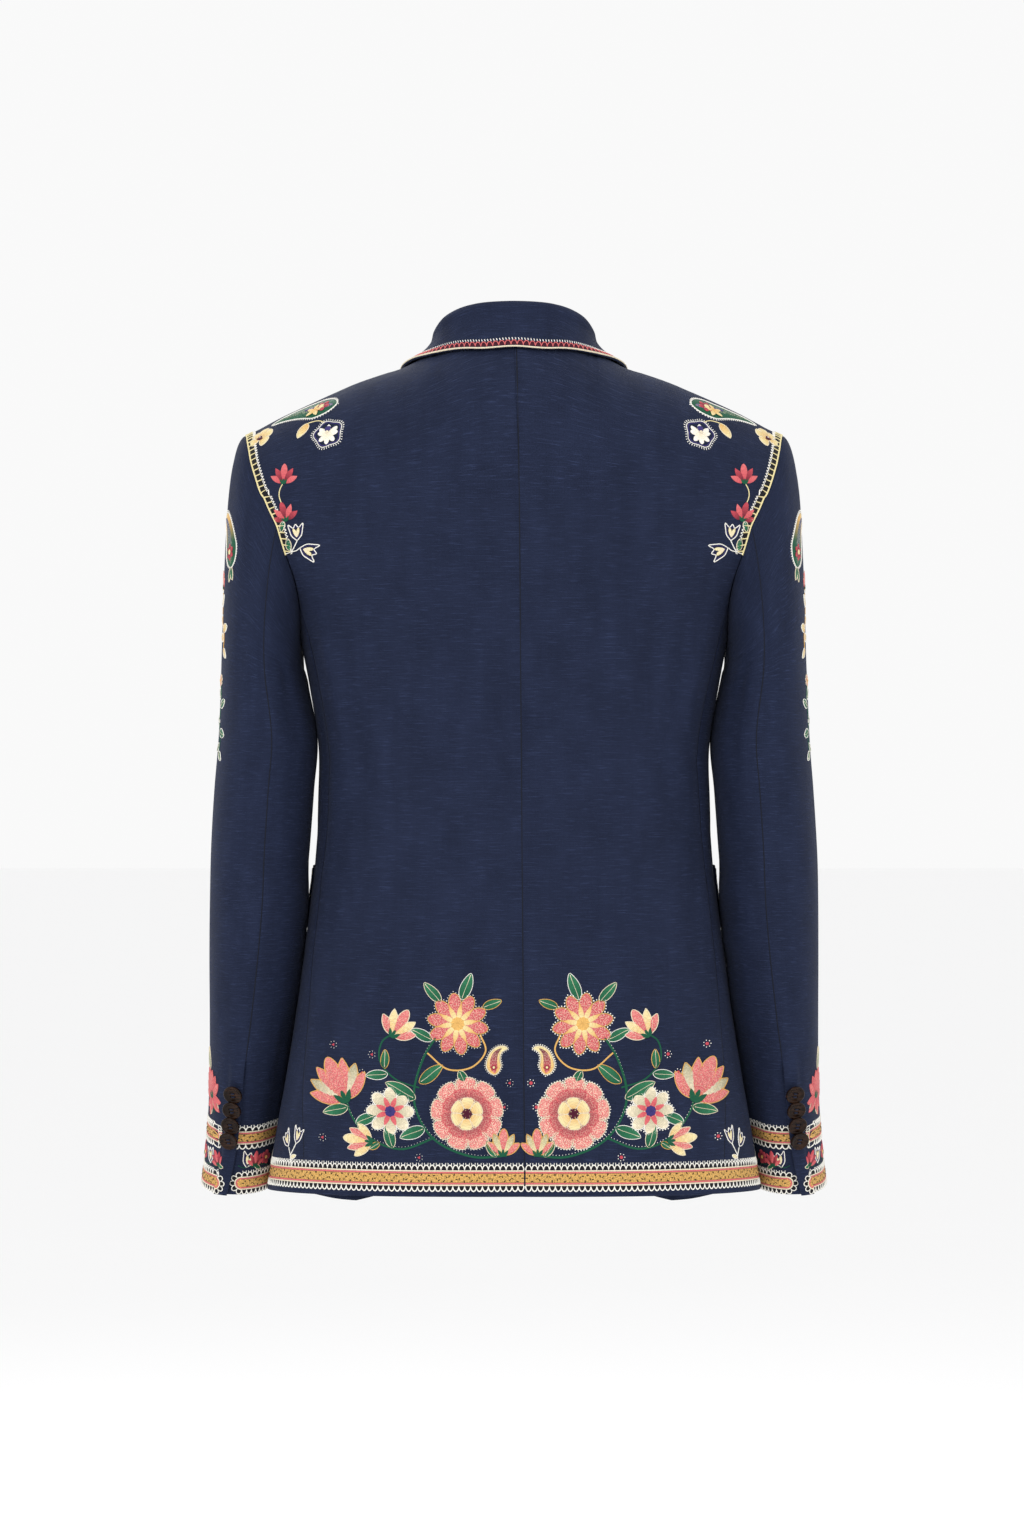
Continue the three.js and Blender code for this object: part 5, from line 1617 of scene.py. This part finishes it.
def painted_seam_shadows(label, side):
    """Painted seam shadows: thin dark lines of darkened linen colour where panels meet, standing in for
    the shade in the seams' grooves: centre back, side and sleeve.
    """
    torso, arm = torso_surface(side), arm_surface(side, False)
    high, low, whole = np.linspace(0.03, 1.9, 160), np.linspace(0.05, 0.83, 90), np.linspace(0, 2, 400)
    down = np.linspace(0.06, float(np.interp(-VENT_TOP, -sleeve_z(whole), whole)), 120)
    paths = [("side", torso, at(BACK_SIDE_SEAM, "angle", low), low), ("sleeve", arm, seam_turn(down), down)]
    if side > 0:
        paths.append(("centre", torso, angle_at(SEAM_DRIFT * (1 - high / 2), high, False), high))
    for name, surface, u, v in paths:
        chart, length = path_chart(*surface, u, v)
        work = Needlework()
        # Painted shade: the linen's colour darkened to 0.35, laid along the seam where its groove lies in
        # shadow
        straight(work, 0, length, 0.0, 0.42, tuple(0.35 * c for c in tint("linen")), 0.16, 0.06)
        work.lay(f"seam_{name}_{label}", chart, side)


def armhole_border(label, side):
    """A pale cord on the armhole's seam and, inward of it, a ladder of straw rungs over a dark ground
    with white zigzag stitches.
    """
    for name, turns in (("back", np.linspace(0.5, 104, 90)), ("front", np.linspace(359.5, 256, 90))):
        level, angle = armhole(turns)
        chart, length = path_chart(*torso_surface(side), angle, level)
        sign = 1.0 if step_beside(chart, length, 5.0)[0] < 0 else -1.0
        work = Needlework()
        s = np.linspace(0, length, 80)
        for height, half, high, lift, shade in ((0.1, 0.6, 0.8, 0.2, "straw"), (3.3, 2.4, 0.12, 0.05, "ink")):
            work.strip(vec(s, sign * height), half, shade, high, lift)
        count = int(length / 4.9)
        rung = (np.arange(count) + 0.5) * length / count
        work.ticks(vec(rung - 0.6, sign * 0.5), vec(rung + 0.6, sign * 5.6), 0.5, "straw", 0.5, 0.2)
        mid = (np.arange(2 * count) + 0.5) * length / count / 2
        work.ticks(vec(mid - 0.9, sign * 5.3), vec(mid, sign * 7.4), 0.34, "white", 0.4, 0.1)
        work.ticks(vec(mid, sign * 7.4), vec(mid + 0.9, sign * 5.3), 0.34, "white", 0.4, 0.1)
        work.lay(f"armhole_border_{name}_{label}", chart, side)


def cuff_borders(label, side):
    """Two gold borders round each cuff, broken at the vent: one at the edge and one above it."""
    edge = float(seam_turn(np.array(2.0)))
    for name, lap, turns in (("top", True, np.linspace(-137, edge - 0.5, 120)),
                             ("under", False, np.linspace(edge + 1.5, FRONT_SLEEVE_TURN - 0.5, 90))):
        surface = arm_surface(side, lap)
        chart, length = path_chart(*surface, turns, 2.0)
        if step_beside(chart, length, 10.0)[2] < 0:
            chart, length = path_chart(*surface, turns, 2.0, -1.0)
        work = Needlework()
        wide_border(work, 0.4, length - 0.6, -3.6, 0.92, (not lap, lap))
        wide_border(work, 0.4, length - 0.6 - 3.5 * lap, 33.6, 0.92, (False, lap))
        work.lay(f"cuff_border_{name}_{label}", chart, side)


def collar_at(s, r):
    """The collar's surface at paired values of s and r."""
    s, r = np.broadcast_arrays(np.asarray(s, float), np.asarray(r, float))
    points = through(collar_points(even(s.ravel())), r.ravel())
    points[:, 0] *= np.where(s.ravel() < 0, -1.0, 1.0)
    return points.reshape(*s.shape, 3)


def collar_normal(s, r):
    r = np.clip(r, 0.01, 0.99)
    n = normal_of(collar_at, s, r, 0.004, 0.008)
    return n * np.where((n[..., 2] + 0.6 * n[..., 1] * np.sign(0.5 - np.abs(s))) < 0, -1.0, 1.0)[..., None]


def collar_border():
    """Along the collar's edge: a pale cord, coral arches over a burgundy ground, and white picots above."""
    s = np.linspace(-0.99, 0.99, 240)
    line = collar_at(s, 1.0)
    way = arc(line)
    reach = np.linalg.norm(collar_at(s, 0.8) - line, axis=-1) / 0.2

    def chart(a, w):
        at_s = np.interp(a, way, s)
        at_r = 1 - w / np.interp(a, way, reach)
        return collar_at(at_s, at_r), collar_normal(at_s, at_r)

    length = float(way[-1])
    work = Needlework()
    straight(work, 0, length, 0.6, 0.6, "cream", 0.8, 0.1, cross=4)
    straight(work, 0, length, 3.5, 2.3, tuple(0.7 * c for c in tint("burgundy")), 0.2, 0.0, cross=4)
    middles = arches(work, length, 4.62, 1.3, 4.3, 0.36, "rose", 0.0, 0.25)
    for shift in (-1.16, 1.16):
        below, above = vec(middles + shift - 0.3, 5.9), vec(middles + shift + 0.3, 7.7)
        work.ticks(below, above, 0.36, "white", 0.35, 0.05)
    work.lay("collar_border", chart, 1)


def flap_border(label, side):
    """Round a flap's three free edges: a pale cord and white scallops outside a coral line."""
    u = np.concatenate([np.full(12, 0.02), np.linspace(0.02, 0.98, 60), np.full(12, 0.98)])
    v = np.concatenate([np.linspace(0.04, 0.96, 12), np.full(60, 0.97), np.linspace(0.96, 0.04, 12)])

    def skin(a, b):
        return flap_surface(side, a, b)

    def normal(a, b):
        """The flap's normal, turned away from the torso's axis."""
        n = normal_of(skin, a, b, 0.004, 0.01)
        out = skin(a, b) * np.array([1, 1, 0])
        return n * np.where((n * out).sum(axis=-1) < 0, -1.0, 1.0)[..., None]

    chart, length = path_chart(skin, normal, u, v, 1.0, 0.004, 0.01)
    sign = 1.0 if step_beside(chart, length, 5.0)[2] > 0 else -1.0
    work = Needlework()
    for height, half, shade, fleck in ((0.6, 0.6, "straw", 0.0), (2.2, 0.45, "coral", 0.0),
                                       (5.0, 1.9, "gold", -0.8), (7.6, 0.4, "cream", 0.0)):
        straight(work, 1, length - 1, sign * height, half, shade, fleck=fleck, cross=4)
    arches(work, length - 1, 3.8, sign * 8.0, sign * 2.4, 0.36, "white", 1)
    arches(work, length - 1, 3.8, sign * 0.4, -sign * 1.7, 0.42, "white", 1)
    work.lay("flap_border_" + label, chart, side)


# Motifs

class JACKET_OT_motifs(bpy.types.Operator):
    """Embroider the flowers, leaves and paisleys of the back, shoulders and sleeves"""
    bl_idname = "jacket.motifs"
    bl_label = "Embroidered motifs"

    def execute(self, context):
        for label, side in SIDES:
            back_garland(label, side)
            shoulder_motifs(label, side)
            sleeve_motifs(label, side)
            cuff_sprigs(label, side)
        return {"FINISHED"}


def back_garland(label, side):
    """A generic garland over the back hem: a scrolling stem with a rose, daisies, cup flowers and leaves."""
    work = Needlework()
    stem(work, [(10, -616), (36, -617), (66, -603), (80, -576), (74, -546), (58, -520)], 1.0,
         "green", "white")
    stem(work, [(64, -603), (90, -612), (114, -604), (128, -588), (133, -574)], 0.9, "green", "white")
    stem(work, [(76, -566), (94, -560), (106, -546), (104, -532), (96, -526)], 0.7, "green")
    stem(work, [(70, -540), (54, -552), (36, -550), (26, -538), (30, -526)], 0.7, "gold")
    # Leaves: place, heading, length, width, whether the blend is turned round, outline and bend
    for x, z, heading, length, width, turned_round, rim, bend in (
            (79, -574, 20, 25, 10, 0, "cream", 3), (76, -562, 152, 22, 9, 0, "gold", -3),
            (72, -596, -28, 20, 9, 0, "white", 2), (96, -611, 66, 18, 8, 0, "cream", 2),
            (106, -608, -24, 9, 4.5, 0, "gold", -1), (124, -594, 148, 18, 8, 1, "white", 2),
            (131, -582, -22, 19, 8, 0, "cream", 2), (18, -617, 62, 14, 6.5, 1, "cream", -1),
            (100, -556, -14, 17, 7, 0, "white", 2), (102, -552, 82, 14, 6, 0, "gold", 2),
            (46, -553, 236, 16, 7, 0, "cream", 2), (66, -530, 18, 18, 7.5, 0, "white", 2),
            (44, -500, 104, 21, 8.5, 0, "white", 2), (60, -502, 56, 19, 7.5, 0, "cream", -2),
            (28, -506, 150, 15, 6.5, 0, "gold", 2)):
        leaf(work, (x, z), heading, length, width, LEAFY[::-1] if turned_round else LEAFY, rim, bend, "cream")
    rosette(work, (40, -585), 27, 8)
    daisy(work, (47, -518), 23, 10, "coral", GOLDEN[::-1], "gold", 10, "gold", "white")
    tulip(work, (133, -576), 66, 33, WARM, ("cream", "sage"), 52, 7, "gold")
    tulip(work, (96, -527), 122, 22, WARM, GOLDEN, 48, 5, "cream")
    daisy(work, (98, -584), 18, 8, ("sage", "cream"), WARM, "indigo", 0, "white", "white")
    tulip(work, (113, -607), 6, 21, GOLDEN, WARM, 40, 5, "cream")
    tulip(work, (13, -615), 92, 19, WARM, ("straw", "sage"), 46, 5, "gold")
    paisley(work, (20, -549), 26, 64, 1.1, GOLDEN, DEEP[::-1])
    for centre in ((120, -556), (112, -542), (12, -580), (8, -562), (76, -618), (150, -606), (142, -536)):
        work.dots([centre], 1.5, "coral", 0.9)
        work.dots(ring_of(centre, 2.6, 7), 0.5, "white", 0.45)
    work.lay("back_garland_" + label, plan_chart(side, -4.7), side)


def shoulder_motifs(label, side):
    """On the back of each shoulder a beaded leaf, a pansy and a blossom; small flowers by the armhole."""
    def lay(name, work, x, z):
        work.lay(f"{name}_{label}", patch_chart(*torso_surface(side), *back_place(x, z)), side)

    work = Needlework()
    paisley(work, (-11, 0), 60, -4, -0.22, "green", ("indigo", "green", "green"), 0.75, "white", 0.42)
    for heading in range(-60, 300, 72):
        petal(work, (-10, -4), heading, 8, 4, GOLDEN, "pointed", 0, 1.0, 0.4)
    petal(work, (1, -2), 176, 11, 4, "indigo", "leaf", 0, 0.9, 0.4)
    lay("shoulder_leaf", work, 159.0, -51.0)

    work = Needlework()
    for heading in (55, 90, 125):
        petal(work, (0, -3), heading, 11, 4.6, ("cream", "white"), "petal", (heading - 90) * 0.03, 0.3, 0.5)
    for heading in (12, 168, 222, 270, 318):
        petal(work, (0, -1), heading, 8.6, 4.4, ("cream", "white"), "petal", 0, 0.1, 0.5)
    petal(work, (0, 0), 90, 6, 5, "indigo", "round", 0, 0.9, 0.4)
    disc(work, (0, 0.6), 1.2, "cream", 1.4, 0.35)
    wave = np.cos(np.arange(40) * np.pi / 4)[:, None] * 0.8
    ring = ring_of((0, 0), 10.2, 40) + wave * ring_of((0, 0), 1, 40)
    work.strip(ring, 0.42, "indigo", 0.4, 0.03, cross=2, closed=True)
    work.strip(ring * 1.12, 0.36, "white", 0.45, 0.05, cross=2, closed=True)
    spokes = spaced(ring * 1.2, 1.9, True)
    work.ticks(spokes, spokes * 1.12, 0.3, "white", 0.35, 0.03)
    petal(work, (20, 14), -76, 16, 8, GOLDEN, "leaf", 3.0, 0, 0.5, "cream")
    stem(work, [(24, 12), (18, 14.5), (10, 14.5), (4, 11)], 0.42, "straw")
    lay("shoulder_blossom", work, 141.8, -71.5)

    work = Needlework()
    for heading in (30, 90, 150, 215, 325):
        petal(work, (0, 0), heading, 10.4, 8.4, GOLDEN, "round", 0, 0.02, 0.5, "cream")
    petal(work, (3.5, -1), 186, 7, 3, "burgundy", "petal", 0, 0.6, 0.4)
    disc(work, (0, 0), 1.8, "burgundy", 0.6, 0.4)
    work.dots([(0, 0)], 0.8, "white", 0.5, 1.0)
    lay("shoulder_pansy", work, 195.0, -72.0)

    work = Needlework()
    tulip(work, (175.5, -108.5), 92, 14.5, WARM, DEEP, 56, fleck=0.0)
    tulip(work, (173.5, -137), 74, 14, DEEP, WARM, 60, fleck=0.0)
    stem(work, [(176, -109), (178.5, -114), (179, -119), (176, -127)], 0.42, "straw")
    petal(work, (176, -138), -88, 8, 3.6, LEAFY[::-1], "leaf", 1, 0, 0.4, "cream")
    bud(work, (165, -153), 84, 12.5)
    bud(work, (163, -158.5), 200, 14)
    stem(work, [(177, -163), (170, -161), (166, -155), (165, -153)], 0.45, "white")
    stem(work, [(170, -161), (166, -160.5), (163, -158.5)], 0.4, "white")
    leaf(work, (171, -160), 72, 9, 4, LEAFY[::-1], "cream", 1)
    work.lay("shoulder_stem_" + label, plan_chart(side), side)

    work = Needlework()
    bud(work, (5, 2), 60, 13)
    bud(work, (-7, 3), 112, 13)
    stem(work, [(0, -14), (1, -6), (4, 1)], 0.42, "white")
    stem(work, [(1, -5), (-3, -1), (-7, 3)], 0.42, "white")
    leaf(work, (1, -7), 165, 8, 3, ("cream", "straw"), "white", 1)
    lay("side_sprig", work, 170.0, -617.0)


def sleeve_motifs(label, side):
    """Down the outer arm: a beaded paisley, a gold scroll, a leafy spray and, at the cuff, a coral flower."""
    skin, normal = arm_surface(side)

    def lay(name, work, turn, z):
        v = np.linspace(0, 2, 400)
        place = float(np.interp(-z, -skin(turn, v)[:, 2], v))
        work.lay(f"{name}_{label}", patch_chart(skin, normal, turn, place), side)

    work = Needlework()
    paisley(work, (0, 0), 60, 96, -0.7, ("green", "green", *GOLDEN), ("green", "indigo"), 0.75, "white", 0.45)
    for heading in (250, 290):
        leaf(work, (0, -15), heading, 11, 5, LEAFY, "cream")
    lay("sleeve_paisley", work, 40, -157.0)

    work = Needlework()
    stem(work, [(0, 30), (7, 18), (2, 4), (-7, -8), (-3, -22)], 0.7, "gold")
    for *base, heading, length, width in ((6, 17, 150, 15, 7), (4, 9, -10, 14, 7), (-4, -4, 170, 15, 7),
                                          (-6, -11, 10, 15, 7), (-3, -20, 215, 13, 6), (1, 27, 30, 11, 5)):
        leaf(work, base, heading, length, width, GOLDEN, "white", 2, "cream")
    tulip(work, (0, 30), 95, 13, WARM, ("cream", "rose"), 42)
    lay("sleeve_scroll", work, 22, -216.0)

    work = Needlework()
    stem(work, [(0, 30), (-5, 14), (3, 0), (-2, -16), (3, -30)], 0.7, "green")
    for *base, heading, length, width in ((-4, 16, 30, 15, 6.5), (-3, 9, 165, 15, 6.5), (2, -2, 15, 15, 6.5),
                                          (0, -10, 195, 15, 6.5), (0, -20, -20, 13, 6), (2, -26, 210, 12, 5)):
        leaf(work, base, heading, length, width, LEAFY, "white", 2, "cream")
    daisy(work, (0, 34), 9, 8, WARM, GOLDEN[::-1], "gold", 0, "cream")
    lay("sleeve_spray", work, 22, -288.0)

    work = Needlework()
    stem(work, [(0, 26), (2, 10), (-1, -6), (0, -22)], 0.6, "green")
    leaf(work, (0, 14), 62, 18, 7, LEAFY, "cream", 2, "cream")
    leaf(work, (0, 12), 112, 18, 7, LEAFY, "cream", -2, "cream")
    tulip(work, (0, -8), 90, 22, WARM, "coral", 60, 7, "rose", 0.2)
    for heading in (200, 230, 310, 340):
        petal(work, (0, -10), heading, 16, 6.5, WARM, "pointed", 1, 0.1, 0.5, "rose")
    leaf(work, (1, -9), -62, 15, 6, LEAFY, "cream", 1)
    leaf(work, (-1, -9), 242, 15, 6, LEAFY, "cream", -1)
    lay("cuff_flower", work, 30, -573.0)


def cuff_sprigs(label, side):
    """Between the two cuff borders: small flowers, buds and leaves on both sides of the vent."""
    for name, lap, places in (
            ("top", True, ((56, "cup"), (38, "bud"), (20, "star"), (0, "cup"), (-22, "bud"), (-44, "star"),
                           (-66, "cup"), (-90, "bud"), (-114, "star"))),
            ("under", False, ((104, "bud"), (118, "cup"), (134, "star"), (152, "bud"), (170, "cup"),
                              (190, "star"), (208, "bud")))):
        surface = arm_surface(side, lap)
        for k, (turn, kind) in enumerate(places):
            work = Needlework()
            if kind == "cup":
                tulip(work, (0, -5), 80, 12, WARM[::-1], DEEP, 50, fleck=0.0)
                leaf(work, (0, -5), 190, 7, 3, LEAFY, "cream", 1)
            elif kind == "bud":
                bud(work, (0, -6), 100, 12.5)
            else:
                for heading in range(0, 360, 72):
                    petal(work, (0, 0), heading + 18, 5.8, 5.2, DEEP, "round", 0, 0, 0.5)
                disc(work, (0, 0), 1.4, "gold", 0.4, 0.4)
            stem(work, [(-6, -6), (-2, -5), (2, -6.5), (7, -5)], 0.3, "green")
            work.lay(f"cuff_sprig_{name}_{k + 1}_{label}", patch_chart(*surface, turn, 1.93), side)


# Buttons

def button_place(z, side):
    """Where a cuff button stands, and its facing: on the lap of the vent, leaning over the one above."""
    v = np.array(1 + (z + CUFF_TILT * 49 - CAP_Z) / (CUFF_Z - CAP_Z))
    turn = seam_turn(v) - 11
    n = sleeve_normal(turn, v)
    lean = math.radians(14)
    facing = unit(n * math.cos(lean) + np.array([0, 0, -math.sin(lean)]))
    spot = sleeve(turn, v, 1.3) + n * (vent_rise(turn, v) + 0.5 + 7.5 * math.sin(lean))
    return spot * [side, 1, 1], facing * [side, 1, 1]


def placed(points, spot, facing):
    """Local points turned so that +Z runs along the facing, and moved to the spot."""
    z = unit(facing)
    x = unit(np.cross([0.0, 0.0, 1.0], z))
    return points @ np.stack([x, np.cross(z, x), z]) + spot


def make_button(node, radius, spot, facing):
    """A horn button: a profile of rim and dished face turned round its axis, with four round pits pressed
    into the face, and strands of thread from pit to pit."""
    knots = [(0, 0), (0.5, 0), (0.86, 0), (0.97, 0.05), (1, 0.14), (0.985, 0.26), (0.9, 0.325), (0.8, 0.31),
             (0.7, 0.25), (0.6, 0.235), (0.45, 0.23), (0, 0.22)]
    t = np.concatenate([np.linspace(0, 0.18, 4), np.linspace(0.2, 0.9, 26), np.linspace(0.905, 1, 22)])
    r, h = smooth_line(knots, t).T[..., None] * radius
    r = np.maximum(r, 0)
    a = np.linspace(0, 2 * np.pi, 65)[None, :-1]
    x, y = r * np.cos(a), r * np.sin(a)
    gap, hole = 0.19 * radius, 0.1 * radius
    face = (np.arange(len(t)) > 30)[:, None]
    pit = sum(np.exp(-(np.hypot(x - sx * gap, y - sy * gap) / hole) ** 6) for sx in (-1, 1) for sy in (-1, 1))
    z = h * np.ones_like(x) - face * np.minimum(pit, 1) * 0.13 * radius
    rows, cols = z.shape
    wrap = np.arange(rows)[:, None] * cols + np.arange(cols + 1)[None] % cols
    points = placed(vec(x, y, z).reshape(-1, 3), spot, facing)
    faces = facing_out(points, wrap.ravel()[grid_faces(rows, cols + 1)], points.mean(axis=0))
    piece = new_mesh("horn_" + node, points, faces, material=material_of("horn_button"))
    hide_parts(node)

    strands, quads, count = [], [], 0
    s = np.linspace(-1, 1, 9)[:, None]
    b = np.linspace(0, 2 * np.pi, 9)[None]
    for line in (-1, 1):
        for off in (-0.34, 0.0, 0.34):
            lift = 0.228 * radius + 0.45 * np.sqrt(1 - s**2) - 0.5 * np.abs(s) ** 6
            tube = vec(s * gap * 1.02, line * gap + off + 0.2 * np.cos(b), lift + 0.2 * np.sin(b))
            strands.append(tube.reshape(-1, 3))
            quads.append(grid_faces(9, 9, count))
            count += tube.shape[0] * tube.shape[1]
    post = vec(1.3 * np.cos(b), 1.3 * np.sin(b), np.linspace(-2.4, 0.1, 4)[:, None])
    strands.append(post.reshape(-1, 3))
    quads.append(grid_faces(4, 9, count))
    points = placed(np.concatenate(strands), spot, facing)
    n = len(points)
    thread = new_mesh("thread_" + node, points, np.concatenate(quads), uv=np.zeros((n, 2)),
                      tints=np.tile(tint("linen"), (n, 1)), flecks=np.zeros(n),
                      material=material_of("embroidery_thread"))


class JACKET_OT_buttons(bpy.types.Operator):
    """Make the horn buttons of the cuffs and the front, with their thread"""
    bl_idname = "jacket.buttons"
    bl_label = "Buttons"

    def execute(self, context):
        for label, side in SIDES:
            for k in range(4):
                spot, facing = button_place(-577 - 12.2 * k, side)
                make_button(f"cuff_button_{label}_{k + 1}", 7.5, spot, facing)
        for k, z in enumerate((-338.0, -440.0)):
            x, height = np.array(0.0), np.array(z)
            n = -normal_of(lambda a, b: front_at(-1, a, b), x, height, -1, 1)
            n = n if n[1] < 0 else -n
            make_button(f"front_button_{k + 1}", 10.0, front_at(-1, x, height) + n * 0.9, n)
        return {"FINISHED"}


# Stage

FLOOR_Z, FLOOR_REACH = -1450.0, 40000.0
AIM = (0, 0, -0.35)


def area_light(name, place, size, watts):
    """A round lamp that points at the jacket's middle."""
    light = bpy.data.lights.new(name, "AREA")
    light.shape, light.size, light.energy = "DISK", size, watts
    lamp = bpy.data.objects.new(name, light)
    lamp.location = place
    x, y, z = np.array(AIM, float) - np.array(place, float)
    lamp.rotation_euler = (math.atan2(math.hypot(x, y), -z), 0, math.atan2(x, -y) + math.pi)
    bpy.context.scene.collection.objects.link(lamp)


class JACKET_OT_stage(bpy.types.Operator):
    """Make the pale floor, the soft lights and the camera"""
    bl_idname = "jacket.stage"
    bl_label = "Stage and camera"

    def execute(self, context):
        scene = context.scene
        pale = plain_material("pale_paper", (0.97, 0.97, 0.972), 0.95)
        reach = np.linspace(-1, 1, 21) * FLOOR_REACH
        points = vec(reach[:, None], reach, FLOOR_Z).reshape(-1, 3)
        floor = new_mesh("floor", points, grid_faces(21, 21), material=pale)
        del floor["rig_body"]
        world = bpy.data.worlds.new("soft_studio")
        world.use_nodes = True
        sky = world.node_tree.nodes["Background"]
        sky.inputs["Color"].default_value = (1, 1, 1, 1)
        sky.inputs["Strength"].default_value = 0.95
        scene.world = world
        area_light("key_light", (1.5, 3.2, 1.6), 2.2, 44)
        area_light("fill_light", (-2.2, 2.6, 0.8), 2.4, 16)
        area_light("front_light", (0.6, -2.6, 1.8), 2.2, 26)
        scene.view_settings.view_transform = "Standard"
        camera = bpy.data.cameras.new("photo_camera")
        camera.sensor_fit, camera.sensor_height, camera.lens = "VERTICAL", 36, 90.15
        camera.clip_end = 100
        seat = bpy.data.objects.new("photo_camera", camera)
        seat.location = (0.00156, 3.0, -0.326)
        seat.rotation_euler = (math.pi / 2, 0, math.pi)
        scene.collection.objects.link(seat)
        scene.camera = seat
        return {"FINISHED"}


STEPS = (JACKET_OT_materials, JACKET_OT_body, JACKET_OT_sleeves, JACKET_OT_collar, JACKET_OT_flaps,
         JACKET_OT_borders, JACKET_OT_motifs, JACKET_OT_buttons, JACKET_OT_stage)


class JACKET_PT_panel(bpy.types.Panel):
    """Sizes, colours and building steps of the jacket"""
    bl_idname = "JACKET_PT_panel"
    bl_label = "Linen Jacket"
    bl_space_type = "VIEW_3D"
    bl_region_type = "UI"
    bl_category = "Jacket"

    def draw(self, context):
        for group in (context.scene.jacket_sizes, context.scene.jacket_colours):
            box = self.layout.box()
            for name in group.bl_rna.properties.keys():
                if name not in {"rna_type", "name"}:
                    box.prop(group, name)
        for step in STEPS:
            self.layout.operator(step.bl_idname)


CLASSES = (JacketSizes, JacketColours, *STEPS, JACKET_PT_panel)


def register():
    for cls in CLASSES:
        bpy.utils.register_class(cls)
    bpy.types.Scene.jacket_sizes = PointerProperty(type=JacketSizes)
    bpy.types.Scene.jacket_colours = PointerProperty(type=JacketColours)


def unregister():
    del bpy.types.Scene.jacket_colours
    del bpy.types.Scene.jacket_sizes
    for cls in reversed(CLASSES):
        bpy.utils.unregister_class(cls)


def main():
    register()
    for step in STEPS:
        group, name = step.bl_idname.split(".")
        getattr(getattr(bpy.ops, group), name)()


if __name__ == "__main__":
    main()
